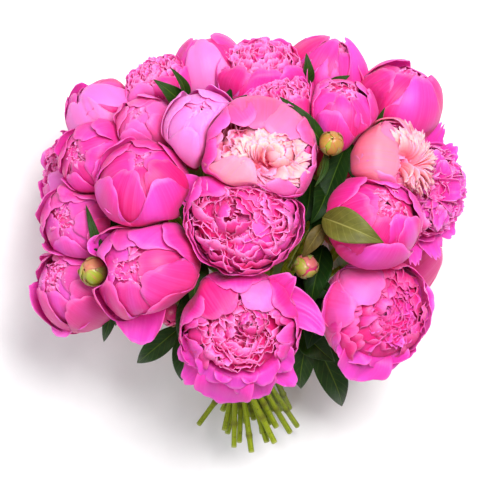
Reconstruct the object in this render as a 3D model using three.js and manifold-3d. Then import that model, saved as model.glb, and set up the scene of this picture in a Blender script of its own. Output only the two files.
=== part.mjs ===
// A hand-tied bouquet of pink peonies, cut short and laid on its back on a table.
// Millimetres. The table is z = 0 and +Z is up. +Y runs from the cut ends to the top of the head,
// +X across it. Each flower head is a solid of its outer shape, pressed flat against its neighbours.

import * as THREE from 'three';
import { mergeVertices } from 'three/addons/utils/BufferGeometryUtils.js';
import Module from 'manifold-3d';

const wasm = await Module();
wasm.setup();

// ---- Driving dimensions ----------------------------------------------------------------------

const CENTRE = [2, -1, 0];             // moves the whole bouquet, so that its box stands on the origin
const HEAD_CORE = [0, -60, 100];       // the point that the flowers face away from
const CLEAR = 0.4;                     // left open between pieces that touch

const LIE = THREE.MathUtils.degToRad(34);   // how far the stems' axis rises off the table
const TIE = [0, -110, 74];             // the middle of the tie
const TIE_WIDTH = 15;
const TIE_THICK = 1.6;

const STEM_RADIUS = 2.8;
const STEM_PITCH = 6.5;                // between stems side by side in the tie
const SPIRAL = 30;                     // the height over which the stems turn by 45 degrees about the axis
const CUT_BELOW_TIE = 80;
const CUT_STAGGER = 30;                // the shortest stems end this much above the longest
const STRAIGHT_ABOVE_TIE = 45;
const PACK_PASSES = 600;               // rounds of packing the stems in the tie
const PACK_PULL = 0.995;               // how far each round draws them together
const SETTLE_PASSES = 90;              // rounds of bending the stems clear of each other
const STEM_ROOM = 2;                   // sought between two stems while they settle
const BLOOM_ROOM = 0.96;               // how near they come to another bloom, as a share of its radius
const STEM_POINTS = 40;
const STEM_SIDES = 6;
const STEM_STEPS = 12;
const STEM_INTO_BLOOM = 8;             // where stem and bloom are one node

const STALK_RADIUS = 1.5;
const STALK_SIDES = 5;
const STALK_STEPS = 7;
const LEAF_THICK = 1.2;
const LEAF_FOLD = 0.25;                // rise of each half of a leaf, as a share of its width

const BLOOM_SIDES = 15;
const BLOOM_RINGS = 9;                 // 20 degrees each, as in the profiles below
const PETAL_LOBES = 5;
const BUD_SIDES = 10;
const BUD_RINGS = 7;
const BUD_LENGTH = 1.08;               // along the bud, as a share of its width

// How far a bloom reaches from its centre, as a share of its radius, every 20 degrees from its mouth
// to its stem.
const PROFILES = {
  globe: [0.90, 0.95, 1.00, 1.00, 1.00, 0.98, 0.95, 0.88, 0.80, 0.76],
  open: [0.68, 0.72, 0.86, 1.00, 0.98, 0.90, 0.80, 0.70, 0.63, 0.60],
};
const LOBE_DEPTH = { globe: 0.02, open: 0.05 };

// Flowers with their own stem node: middle of the bloom, radius, kind, and the way it faces
// (left out where it faces straight out of the bouquet).
const FLOWERS = [
  { at: [-13, -71, 216], radius: 56, kind: 'open', facing: [0.0, -0.12, 1] },
  { at: [-9, 26, 243], radius: 54, kind: 'open', facing: [-0.05, 0.12, 1] },
  { at: [106, -58, 181], radius: 53, kind: 'open', facing: [0.42, -0.05, 0.9] },
  { at: [105, 23, 224], radius: 45, kind: 'globe', facing: [0.42, 0.38, 0.82] },
  { at: [118, 71, 205], radius: 43, kind: 'open', facing: [0.7, 0.15, 0.7] },
  { at: [150, 52, 160], radius: 47, kind: 'open', facing: [0.6, 0.0, 0.8] },
  { at: [130, 129, 158], radius: 40, kind: 'globe', facing: [0.4, 0.7, 0.6] },
  { at: [75, 116, 205], radius: 36, kind: 'globe', facing: [0.15, 0.75, 0.65] },
  { at: [24, 121, 203], radius: 38, kind: 'open', facing: [-0.1, 0.7, 0.7] },
  { at: [4, 80, 245], radius: 54, kind: 'open', facing: [0.08, 0.45, 0.88] },
  { at: [-45, 103, 232], radius: 36, kind: 'globe', facing: [-0.05, 0.62, 0.78] },
  { at: [7, 151, 165], radius: 46, kind: 'open', facing: [0.0, 0.75, 0.65] },
  { at: [-40, 158, 146], radius: 35, kind: 'globe', facing: [-0.2, 0.88, 0.42] },
  { at: [-85, 143, 160], radius: 36, kind: 'open', facing: [-0.45, 0.7, 0.55] },
  { at: [-134, 119, 150], radius: 36, kind: 'globe', facing: [-0.6, 0.65, 0.45] },
  { at: [-96, 105, 196], radius: 30, kind: 'globe', facing: [-0.35, 0.55, 0.75] },
  { at: [-138, 77, 182], radius: 38, kind: 'globe', facing: [-0.66, 0.15, 0.73] },
  { at: [-98, 53, 226], radius: 43, kind: 'globe', facing: [-0.1, 0.62, 0.78] },
  { at: [-158, 68, 138], radius: 42, kind: 'open', facing: [-0.8, 0.15, 0.55] },
  { at: [-153, 22, 174], radius: 40, kind: 'globe', facing: [-0.5, 0.08, 0.85] },
  { at: [-156, -36, 160], radius: 43, kind: 'globe', facing: [-0.62, 0.3, 0.72] },
  { at: [-94, -22, 222], radius: 50, kind: 'globe', facing: [-0.4, 0.1, 0.9] },
];

// Flowers at the back and underneath, where bloom and stem are one node.
const BACK_FLOWERS = [
  { at: [64, 155, 140], radius: 40, kind: 'globe', facing: [0.3, 0.85, 0.4] },
  { at: [-84, 90, 48], radius: 54, kind: 'globe' },
  { at: [84, 86, 48], radius: 54, kind: 'globe' },
  { at: [-118, 2, 60], radius: 54, kind: 'globe' },
  { at: [118, -2, 60], radius: 54, kind: 'globe' },
  { at: [4, 4, 42], radius: 46, kind: 'globe', facing: [0.05, 0.45, -0.85] },
  { at: [-4, 124, 48], radius: 52, kind: 'globe', facing: [0, 0.92, -0.2] },
];

// Leaves and buds are given by the places of base and tip, and by the way that the upper face looks.
const LEAVES = [
  {
    name: 'leaf_middle',
    stalk: [[52, 22, 170], [60, 44, 200], [66, 60, 222]],
    leaflets: [
      { base: [66, 58, 220], tip: [52, 22, 244], up: [0.2, -0.2, 1], width: 24, arch: 6 },
      { base: [62, 46, 203], tip: [70, 8, 250], up: [-0.5, -0.3, 1], width: 26, arch: 8 },
      { base: [58, 38, 192], tip: [50, 0, 236], up: [0.1, -0.4, 1], width: 24, arch: 6 },
    ],
  },
  {
    name: 'leaf_lower_right',
    stalk: [[24, -66, 112], [42, -76, 120], [56, -84, 126]],
    leaflets: [
      { base: [54, -82, 126], tip: [84, -150, 92], up: [0.1, 0.1, 1], width: 27, arch: 10 },
      { base: [44, -76, 124], tip: [72, -104, 140], up: [-0.2, 0, 1], width: 26, arch: 6 },
      { base: [50, -80, 126], tip: [42, -132, 108], up: [-0.2, 0, 1], width: 22, arch: 8 },
    ],
  },
  {
    name: 'leaf_lower_left',
    stalk: [[-24, -66, 118], [-48, -66, 128], [-66, -72, 132]],
    leaflets: [
      { base: [-64, -71, 131], tip: [-66, -125, 108], up: [0.1, 0.1, 1], width: 22, arch: 9 },
      { base: [-66, -72, 132], tip: [-109, -108, 112], up: [0, 0, 1], width: 20, arch: 9 },
      { base: [-54, -68, 129], tip: [-52, -106, 122], up: [0, 0, 1], width: 22, arch: 6 },
    ],
  },
  {
    name: 'leaf_upper_left',
    stalk: [[-52, 100, 170], [-58, 118, 188], [-60, 126, 198]],
    leaflets: [
      { base: [-58, 122, 194], tip: [-86, 147, 226], up: [-0.2, 0.3, 1], width: 17, arch: 5 },
      { base: [-60, 126, 198], tip: [-70, 157, 236], up: [0.9, -0.4, 0.4], width: 11, arch: 4 },
    ],
  },
];

const BUDS = [
  {
    at: [68, 91, 252], radius: 11, facing: [0.1, 0.35, 0.9],
    stalk: [[58, 66, 184], [64, 84, 226], [67, 89, 244]],
    leaflets: [
      { base: [65, 86, 236], tip: [24, 132, 250], up: [0.1, 0.1, 1], width: 14, arch: 8 },
      { base: [64, 85, 234], tip: [56, 54, 256], up: [0.6, -0.2, 1], width: 7, arch: 3 },
    ],
  },
  {
    at: [-143, -22, 214], radius: 13, facing: [-0.55, 0.15, 0.8],
    stalk: [[-100, -38, 150], [-124, -32, 186], [-138, -25, 206]],
    leaflets: [
      { base: [-126, -31, 189], tip: [-150, 30, 214], up: [-0.3, -0.2, 1], width: 7, arch: 4 },
      { base: [-120, -33, 181], tip: [-137, -88, 158], up: [-0.2, 0, 1], width: 12, arch: 8 },
      { base: [-124, -32, 186], tip: [-124, -72, 176], up: [0.2, 0, 1], width: 10, arch: 6 },
    ],
  },
  {
    at: [46, -17, 228], radius: 11, facing: [0.2, -0.2, 1],
    stalk: [[34, -24, 160], [42, -20, 196], [45, -17, 220]],
    leaflets: [],
  },
  {
    at: [-76, -60, 172], radius: 12, facing: [-0.1, -0.55, 0.8],
    stalk: [[-50, -40, 140], [-66, -48, 152], [-74, -56, 164]],
    leaflets: [],
  },
];

// ---- Frames ------------------------------------------------------------------------------------

const vec = (a) => new THREE.Vector3(...a);
const axis = new THREE.Vector3(0, Math.cos(LIE), Math.sin(LIE));
const side = new THREE.Vector3(1, 0, 0);
const front = new THREE.Vector3().crossVectors(side, axis);
const tieCentre = vec(TIE);

// The turn that takes a shape made round +Y to stand along another way.
const turnedTo = (way) => new THREE.Quaternion().setFromUnitVectors(new THREE.Vector3(0, 1, 0), way);

for (const flower of [...FLOWERS, ...BACK_FLOWERS]) {
  flower.at = vec(flower.at);
  flower.facing = (flower.facing ? vec(flower.facing) : flower.at.clone().sub(vec(HEAD_CORE))).normalize();
}
const flowers = [...FLOWERS, ...BACK_FLOWERS];

// ---- Solids ------------------------------------------------------------------------------------

function toSolid(geometry) {
  const bare = geometry.clone();
  bare.deleteAttribute('normal');
  bare.deleteAttribute('uv');
  const merged = mergeVertices(bare, 1e-3);
  return new wasm.Manifold(new wasm.Mesh({
    numProp: 3,
    vertProperties: merged.attributes.position.array,
    triVerts: new Uint32Array(merged.index.array),
  }));
}

function toGeometry(solid) {
  const { vertProperties, triVerts, numProp } = solid.getMesh();
  const count = vertProperties.length / numProp;
  const places = new Float32Array(count * 3);
  for (let i = 0; i < count; i += 1) {
    places.set(vertProperties.subarray(i * numProp, i * numProp + 3), i * 3);
  }
  const geometry = new THREE.BufferGeometry();
  geometry.setAttribute('position', new THREE.BufferAttribute(places, 3));
  geometry.setIndex(new THREE.BufferAttribute(triVerts, 1));
  geometry.computeVertexNormals();
  return geometry;
}

// Joins solids into one, and keeps its largest body.
function joined(solids) {
  return largest(solids.reduce((whole, next) => whole.add(next)));
}

function largest(solid) {
  return solid.decompose().sort((a, b) => b.volume() - a.volume())[0];
}

function tube(curve, radius, sides, steps) {
  const ring = new THREE.Shape();
  for (let i = 0; i < sides; i += 1) {
    const turn = (i / sides) * 2 * Math.PI;
    ring[i ? 'lineTo' : 'moveTo'](radius * Math.cos(turn), radius * Math.sin(turn));
  }
  return new THREE.ExtrudeGeometry(ring, { steps, extrudePath: curve, curveSegments: 1 });
}

// Skins closed rings of points into one solid, with a point at each end.
function loft(startPoint, rings, endPoint) {
  const sides = rings[0].length;
  const points = [startPoint, ...rings.flat(), endPoint];
  const last = points.length - 1;
  const at = (ring, i) => 1 + ring * sides + (i % sides);
  const faces = [];
  for (let i = 0; i < sides; i += 1) {
    faces.push(0, at(0, i + 1), at(0, i));
    faces.push(last, at(rings.length - 1, i), at(rings.length - 1, i + 1));
    for (let ring = 0; ring + 1 < rings.length; ring += 1) {
      faces.push(at(ring, i), at(ring, i + 1), at(ring + 1, i));
      faces.push(at(ring, i + 1), at(ring + 1, i + 1), at(ring + 1, i));
    }
  }
  const geometry = new THREE.BufferGeometry().setFromPoints(points);
  geometry.setIndex(faces);
  return geometry;
}

// ---- Blooms ------------------------------------------------------------------------------------

// The flat faces that a bloom is pressed against: one between it and each near neighbour, and the table.
function wallsAround(flower) {
  const walls = [{ normal: new THREE.Vector3(0, 0, -1), distance: flower.at.z }];
  for (const other of flowers) {
    if (other === flower) continue;
    const between = other.at.clone().sub(flower.at);
    const apart = between.length();
    const middle = (apart ** 2 + flower.radius ** 2 - other.radius ** 2) / (2 * apart);
    walls.push({ normal: between.normalize(), distance: middle - CLEAR / 2 });
  }
  return walls;
}

function bloomGeometry(flower) {
  const walls = wallsAround(flower);
  const upright = turnedTo(flower.facing);
  const geometry = new THREE.SphereGeometry(1, BLOOM_SIDES, BLOOM_RINGS);
  const places = geometry.attributes.position;
  const way = new THREE.Vector3();
  for (let i = 0; i < places.count; i += 1) {
    way.fromBufferAttribute(places, i).normalize();
    const polar = Math.acos(THREE.MathUtils.clamp(way.y, -1, 1));
    const turn = Math.atan2(way.z, way.x);
    const share = PROFILES[flower.kind][Math.round((polar / Math.PI) * BLOOM_RINGS)];
    const lobe = 1 + LOBE_DEPTH[flower.kind] * Math.cos(PETAL_LOBES * turn) * Math.sin(polar);
    way.applyQuaternion(upright);
    let reach = flower.radius * share * lobe;
    for (const { normal, distance } of walls) {
      const towards = way.dot(normal);
      if (towards > 0) reach = Math.min(reach, distance / towards);
    }
    places.setXYZ(i, way.x * reach, way.y * reach, way.z * reach);
  }
  return geometry;
}

// Where the stem meets the bloom, at the pole opposite to its mouth.
function bloomBase(flower) {
  let reach = flower.radius * PROFILES[flower.kind].at(-1);
  for (const { normal, distance } of wallsAround(flower)) {
    const towards = -flower.facing.dot(normal);
    if (towards > 0) reach = Math.min(reach, distance / towards);
  }
  return flower.at.clone().addScaledVector(flower.facing, -reach);
}

// ---- Stems -------------------------------------------------------------------------------------

// Packs the stems in the tie. Each starts where its bloom lies as seen along the bouquet, turned back
// by the spiral, and is then pushed off its neighbours and pulled to the middle.
function packStems() {
  const turnBack = Math.atan(90 / SPIRAL);
  const spots = flowers.map((flower) => {
    const out = flower.at.clone().sub(tieCentre);
    const turn = Math.atan2(out.dot(front), out.dot(side)) - turnBack;
    const spread = out.angleTo(axis) * STEM_PITCH * 2;
    return new THREE.Vector2(spread * Math.cos(turn), spread * Math.sin(turn));
  });
  for (let pass = 0; pass < PACK_PASSES; pass += 1) {
    spots.forEach((spot) => spot.multiplyScalar(PACK_PULL));
    spots.forEach((a, i) => spots.slice(i + 1).forEach((b) => {
      const apart = new THREE.Vector2().subVectors(a, b);
      const short = STEM_PITCH - apart.length();
      if (short > 0) {
        apart.setLength(short / 2);
        a.add(apart);
        b.sub(apart);
      }
    }));
  }
  return spots;
}

// A point of a stem's straight run through the tie, at a height above the tie along the axis.
function onStraight(spot, height) {
  const turn = height / SPIRAL;
  return tieCentre.clone()
    .addScaledVector(axis, height)
    .addScaledVector(side, spot.x - turn * spot.y)
    .addScaledVector(front, spot.y + turn * spot.x);
}

// The cut end: up to CUT_BELOW_TIE under the tie, each stem its own length, or sooner where the stem
// meets the table.
function cutHeight(spot) {
  const ownLength = (spots.indexOf(spot) * 0.618) % 1;
  let height = -CUT_BELOW_TIE + CUT_STAGGER * ownLength;
  while (onStraight(spot, height).z < STEM_RADIUS + 0.6) height += 0.5;
  return height;
}

const spots = packStems();

// A stem as it would run alone: straight through the tie, then over in one curve to its bloom.
function stemAlone(flower, spot) {
  const end = onStraight(spot, cutHeight(spot));
  const leaves = onStraight(spot, STRAIGHT_ABOVE_TIE);
  const run = leaves.clone().sub(end).normalize();
  const base = bloomBase(flower);
  const reach = base.distanceTo(leaves) * 0.4;
  const path = new THREE.CurvePath();
  path.add(new THREE.LineCurve3(end, leaves));
  path.add(new THREE.CubicBezierCurve3(
    leaves,
    leaves.clone().addScaledVector(run, reach),
    base.clone().addScaledVector(flower.facing, -reach),
    base,
  ));
  return path.getSpacedPoints(STEM_POINTS - 1);
}

// Pushes a point away from another until they are a distance apart, by its share of the shortfall.
function pushOff(point, from, distance, share) {
  const away = point.clone().sub(from);
  const short = distance - away.length();
  if (short > 0) point.add(away.setLength(short * share));
}

// Lets the stems bend round each other and round the blooms. Their straight runs and their tops stay.
function settleStems() {
  const paths = flowers.map((flower, i) => stemAlone(flower, spots[i]));
  const inStraight = (point) => point.clone().sub(tieCentre).dot(axis) < STRAIGHT_ABOVE_TIE * 0.6;
  const free = paths.map((path) => path.map((point, n) => n < STEM_POINTS - 3 && !inStraight(point)));
  for (let pass = 0; pass < SETTLE_PASSES; pass += 1) {
    paths.forEach((path, i) => path.forEach((point, n) => {
      if (!free[i][n]) return;
      paths.forEach((other, j) => {
        if (j !== i) other.forEach((from) => pushOff(point, from, STEM_RADIUS * 2 + STEM_ROOM, 0.5));
      });
      flowers.forEach((flower, j) => {
        if (j !== i) pushOff(point, flower.at, flower.radius * BLOOM_ROOM + STEM_RADIUS, 0.8);
      });
    }));
    paths.forEach((path, i) => path.forEach((point, n) => {
      if (free[i][n]) point.lerp(path[n - 1].clone().add(path[n + 1]).multiplyScalar(0.5), 0.3);
    }));
  }
  return paths;
}

const stemPaths = settleStems();

// A stem as a tube whose top goes a length into its bloom, or stops short of it if that is negative.
function stemTube(index, intoBloom, grow = 0) {
  const path = stemPaths[index].map((point) => point.clone());
  path.at(-1).addScaledVector(flowers[index].facing, intoBloom);
  return tube(new THREE.CatmullRomCurve3(path), STEM_RADIUS + grow, STEM_SIDES, STEM_STEPS);
}

// ---- Leaves, buds and tie ----------------------------------------------------------------------

// Half the width of a leaflet along its length, as a share of its greatest.
const leafOutline = (t) => Math.sin(Math.PI * t ** 0.75) ** 0.9;
const LEAF_STATIONS = [0.06, 0.2, 0.38, 0.56, 0.74, 0.9];

function leaflet({ base, tip, up, width, arch }, grow) {
  const from = vec(base);
  const along = vec(tip).sub(from);
  const across = along.clone().cross(vec(up)).normalize();
  const out = across.clone().cross(along).normalize();
  const point = (t, x, z) => from.clone()
    .addScaledVector(along, t)
    .addScaledVector(across, x)
    .addScaledVector(out, z + arch * Math.sin(Math.PI * t) + LEAF_FOLD * Math.abs(x));
  const thick = LEAF_THICK / 2 + grow;
  const rings = LEAF_STATIONS.map((t) => {
    const half = (width / 2) * leafOutline(t) + grow;
    const section = [[-1, 0], [-0.5, 1], [0, 1], [0.5, 1], [1, 0], [0.5, -1], [0, -1], [-0.5, -1]];
    return section.map(([x, z]) => point(t, x * half, z * thick));
  });
  return toSolid(loft(point(0, 0, 0), rings, point(1, 0, 0)));
}

// A stalk that leaves the nearest stem square to it, clear of it, and runs through the given points.
function stalkTube(points, grow) {
  const [first, ...rest] = points.map(vec);
  let gap = Infinity;
  let near;
  let run;
  for (const path of stemPaths) {
    for (let n = 1; n + 1 < path.length; n += 1) {
      if (path[n].distanceTo(first) > gap) continue;
      gap = path[n].distanceTo(first);
      near = path[n];
      run = path[n + 1].clone().sub(path[n - 1]).normalize();
    }
  }
  const way = rest[0].clone().sub(near);
  way.addScaledVector(run, -way.dot(run)).normalize();
  const start = near.clone().addScaledVector(way, STEM_RADIUS + CLEAR);
  const clear = start.clone().addScaledVector(way, 2 * STALK_RADIUS);
  const curve = new THREE.CatmullRomCurve3([start, clear, ...rest]);
  return toSolid(tube(curve, STALK_RADIUS + grow, STALK_SIDES, STALK_STEPS));
}

function leafSolid({ stalk, leaflets }, grow = 0) {
  return joined([stalkTube(stalk, grow), ...leaflets.map((one) => leaflet(one, grow))]);
}

function budSolid(bud, grow = 0) {
  const ball = new THREE.SphereGeometry(bud.radius + grow, BUD_SIDES, BUD_RINGS);
  ball.scale(1, BUD_LENGTH, 1);
  ball.applyQuaternion(turnedTo(vec(bud.facing).normalize()));
  ball.translate(...bud.at);
  return joined([toSolid(ball), leafSolid(bud, grow)]);
}

// The tie: a band round the stems, waisted as the spiral is.
function tieGeometry() {
  const bundle = Math.max(...spots.map((spot) => spot.length()));
  const inner = (height) => (bundle + STEM_RADIUS) * Math.hypot(1, height / SPIRAL) + 2.5 * CLEAR;
  const heights = [-0.5, -0.25, 0, 0.25, 0.5].map((share) => share * TIE_WIDTH);
  const profile = [
    ...heights.map((height) => new THREE.Vector2(inner(height) + TIE_THICK, height)),
    ...heights.toReversed().map((height) => new THREE.Vector2(inner(height), height)),
  ];
  const band = new THREE.LatheGeometry([...profile, profile[0]], 24);
  band.applyQuaternion(turnedTo(axis));
  return band;
}

// ---- The bouquet -------------------------------------------------------------------------------

const bouquet = new THREE.Group();
const colours = { petal: 0xf03cae, stem: 0x7f9a2c, leaf: 0x2f5a1e, bud: 0x9dbb3a, tie: 0xc8323c };

function addMesh(name, geometry, slot, at = new THREE.Vector3()) {
  const material = new THREE.MeshStandardMaterial({ color: colours[slot], roughness: 0.6, metalness: 0 });
  const mesh = new THREE.Mesh(geometry, material);
  mesh.name = name;
  mesh.position.copy(at);
  bouquet.add(mesh);
}

const twoDigits = (n) => String(n).padStart(2, '0');

const greenery = [
  ...LEAVES.map((leaf) => ({ name: leaf.name, slot: 'leaf', make: (grow) => leafSolid(leaf, grow) })),
  ...BUDS.map((bud, i) => ({ name: `bud_${i + 1}`, slot: 'bud', make: (grow) => budSolid(bud, grow) })),
];
const cutters = greenery.map(({ make }) => make(CLEAR));

// A bloom in place, with room made in it for the leaves and buds that press into it.
function pressedBloom(flower) {
  const whole = toSolid(bloomGeometry(flower)).translate(flower.at.toArray());
  const touching = cutters.filter((cutter) => whole.intersect(cutter).volume() > 0);
  return largest(touching.reduce((left, cutter) => left.subtract(cutter), whole));
}

for (const { name, slot, make } of greenery) addMesh(name, toGeometry(make(0)), slot);
addMesh('tie', tieGeometry(), 'tie', tieCentre);

FLOWERS.forEach((flower, i) => {
  const centred = pressedBloom(flower).translate(flower.at.clone().negate().toArray());
  addMesh(`bloom_${twoDigits(i + 1)}`, toGeometry(centred), 'petal', flower.at);
  addMesh(`stem_${twoDigits(i + 1)}`, stemTube(i, -2 * CLEAR), 'stem');
});

BACK_FLOWERS.forEach((flower, i) => {
  const stem = toSolid(stemTube(FLOWERS.length + i, STEM_INTO_BLOOM));
  addMesh(`back_flower_${i + 1}`, toGeometry(joined([pressedBloom(flower), stem])), 'petal');
});

bouquet.position.set(...CENTRE);

export default bouquet;
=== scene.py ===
"""A hand-tied bouquet of pink peonies, lying on its back on a pale table.

Every flower head is grown petal by petal round the middle and the facing that its CAD solid has.
Shapes are worked out in millimetres in the CAD frame (+Z up off the table, +Y to the top of the
head) and turned to metres where a mesh is made.
"""

import math

import bpy
import numpy as np
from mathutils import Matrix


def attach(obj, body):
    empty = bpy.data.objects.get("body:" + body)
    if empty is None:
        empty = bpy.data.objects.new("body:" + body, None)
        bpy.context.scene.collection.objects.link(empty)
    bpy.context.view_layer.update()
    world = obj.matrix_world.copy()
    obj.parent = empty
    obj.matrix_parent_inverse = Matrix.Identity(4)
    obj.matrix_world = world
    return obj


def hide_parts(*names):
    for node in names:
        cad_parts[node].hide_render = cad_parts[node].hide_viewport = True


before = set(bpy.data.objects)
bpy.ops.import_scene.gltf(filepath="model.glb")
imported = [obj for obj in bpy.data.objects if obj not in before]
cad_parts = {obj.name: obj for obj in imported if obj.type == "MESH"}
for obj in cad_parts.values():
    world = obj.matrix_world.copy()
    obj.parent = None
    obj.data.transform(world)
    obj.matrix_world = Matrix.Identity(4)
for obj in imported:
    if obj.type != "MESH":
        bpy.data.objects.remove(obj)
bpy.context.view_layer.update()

MM = 0.001
CENTRE = np.array([2.0, -1.0, 0.0])  # how far the CAD model stands from the places listed here

# ---- Camera, lights and table ----

PHOTO_SIDE_PX = 500
MM_PER_PX = 0.9  # at the height of the front of the bouquet
PHOTO_ORIGIN_PX = (254, 247)  # the pixel that lies over x = 0, y = 0 of the places listed
FRONT_HEIGHT = 180.0
CAMERA_DISTANCE = 3000.0
SENSOR_WIDTH = 36.0
TABLE_SIDE = 6.0
# Area lights: place and side in metres, watts and colour.
LIGHTS = {
    "key": ((0.40, 0.62, 1.95), 0.9, 60.0, (1.0, 0.98, 0.98)),
    "fill": ((-1.1, -0.7, 1.7), 1.6, 11.5, (0.98, 0.98, 1.0)),
}
LIGHT_AIM = np.array([0.0, 0.0, 0.12])
SKY_COLOUR = (0.96, 0.97, 1.0, 1.0)
SKY_STRENGTH = 0.49
DIFFUSE_BOUNCES = 10  # light that goes deep into the folds


def make_camera():
    """Looks straight down, as the photo looks at the front of the bouquet."""
    data = bpy.data.cameras.new("camera")
    data.sensor_width = SENSOR_WIDTH
    data.lens = SENSOR_WIDTH * CAMERA_DISTANCE / (PHOTO_SIDE_PX * MM_PER_PX)
    camera = bpy.data.objects.new("camera", data)
    middle = PHOTO_SIDE_PX / 2
    camera.location = (
        ((middle - PHOTO_ORIGIN_PX[0]) * MM_PER_PX + CENTRE[0]) * MM,
        ((PHOTO_ORIGIN_PX[1] - middle) * MM_PER_PX + CENTRE[1]) * MM,
        (FRONT_HEIGHT + CAMERA_DISTANCE) * MM,
    )
    bpy.context.collection.objects.link(camera)
    bpy.context.scene.camera = camera


def make_studio():
    for name, (place, side, power, colour) in LIGHTS.items():
        data = bpy.data.lights.new(name, "AREA")
        data.size, data.energy, data.color = side, power, colour
        light = bpy.data.objects.new(name, data)
        light.location = place
        x, y, z = LIGHT_AIM - place
        light.rotation_euler = (math.atan2(math.hypot(x, y), -z), 0.0, math.atan2(-x, y))
        bpy.context.collection.objects.link(light)
    world = bpy.data.worlds.new("studio")
    world.use_nodes = True
    background = world.node_tree.nodes["Background"]
    background.inputs["Color"].default_value = SKY_COLOUR
    background.inputs["Strength"].default_value = SKY_STRENGTH
    scene = bpy.context.scene
    scene.world = world
    scene.view_settings.view_transform = "Standard"
    scene.cycles.diffuse_bounces = DIFFUSE_BOUNCES


def make_table():
    bpy.ops.mesh.primitive_plane_add(size=TABLE_SIDE, location=(0.0, 0.0, 0.0))
    table = bpy.context.object
    table.name = "table"
    table.data.materials.append(table_material())


# ---- Materials ----
# Colours are linear red, green and blue. The attributes that materials read: across, -1 to 1 from
# side to side; along, 0 at the foot to 1 at the tip; edge, 1 at the rim; inner, 1 on the back of a
# sheet; tone, -1 to 1, one number for each petal or leaf; pale and rose, shares of those colours.

PETAL = {
    # Painted shade: the first colour below darkens each petal towards its foot, where the petals
    # over it shade it.
    "foot": (0.64, 0.004, 0.085), "face": (0.70, 0.014, 0.25), "patch": (0.72, 0.045, 0.42),
    "rose": (0.88, 0.038, 0.24), "light": (0.75, 0.062, 0.47), "deep": (0.62, 0.004, 0.12),
    # Painted shade: the first colour below darkens each petal's sides, where they turn from the
    # light.
    # Partly painted highlight: the last colour below is a paler rim that also stands in for the
    # light caught along each petal's edge.
    "side_shade": (0.64, 0.004, 0.10), "streak": (0.86, 0.14, 0.54), "rim": (0.94, 0.30, 0.62),
    "inner foot": (0.66, 0.010, 0.21), "inner tip": (0.68, 0.042, 0.41),
    "cream foot": (0.92, 0.14, 0.22), "cream tip": (0.93, 0.45, 0.38), "lilac": (0.90, 0.30, 0.74),
}
PETAL_RELIEF = 0.0010  # heights of the fine relief, in metres
LEAF_RELIEF = 0.0009
STEM_RELIEF = 0.0006
BUD_RELIEF = 0.0006
RIBBON_RELIEF = 0.0003
SIDE_VEINS = 52.0  # 2 pi for each pair of side veins
RIBBON_RIBS = 900.0
NOISE_RANGE = (0.3, 0.7)  # where nearly all of a noise texture's values are
STEM_COLOURS = {
    "groove": (0.15, 0.21, 0.003), "rib": (0.34, 0.41, 0.014), "blotch": (0.075, 0.045, 0.010),
    "joint": (0.09, 0.055, 0.012), "cut": (0.46, 0.48, 0.18),
}
RIBBON_COLOURS = ((0.62, 0.012, 0.02), (0.85, 0.03, 0.035))
TABLE_COLOURS = ((0.90, 0.90, 0.90), (0.93, 0.93, 0.93))
# A leaf's face, veins, back and gloss. The deep kind is painted shade: a darker, duller copy for
# leaves in the shaded gaps between heads.
LEAF_COLOURS = {
    "plain": ((0.014, 0.048, 0.003), (0.075, 0.13, 0.012), (0.06, 0.10, 0.02), 0.18),
    "deep": ((0.005, 0.021, 0.002), (0.030, 0.065, 0.006), (0.02, 0.045, 0.008), 0.07),
    "brown": ((0.085, 0.060, 0.010), (0.15, 0.12, 0.03), (0.16, 0.07, 0.03), 0.18),
    "light": ((0.110, 0.108, 0.015), (0.21, 0.20, 0.05), (0.20, 0.13, 0.05), 0.18),
}
# A bud's foot, crown and blush, and how much of the blush some scales have all over.
BUD_COLOURS = {
    "bud_1": ((0.15, 0.24, 0.012), (0.30, 0.33, 0.015), (0.50, 0.04, 0.05), 0.45),
    "bud_2": ((0.20, 0.29, 0.015), (0.30, 0.40, 0.02), (0.62, 0.08, 0.13), 0.6),
    "bud_3": ((0.14, 0.20, 0.012), (0.26, 0.30, 0.02), (0.56, 0.012, 0.14), 0.95),
    "bud_4": ((0.42, 0.015, 0.09), (0.50, 0.020, 0.14), (0.60, 0.010, 0.16), 0.9),
    "sepal": ((0.10, 0.17, 0.025), (0.20, 0.27, 0.04), (0.30, 0.06, 0.05), 0.0),
}


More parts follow.
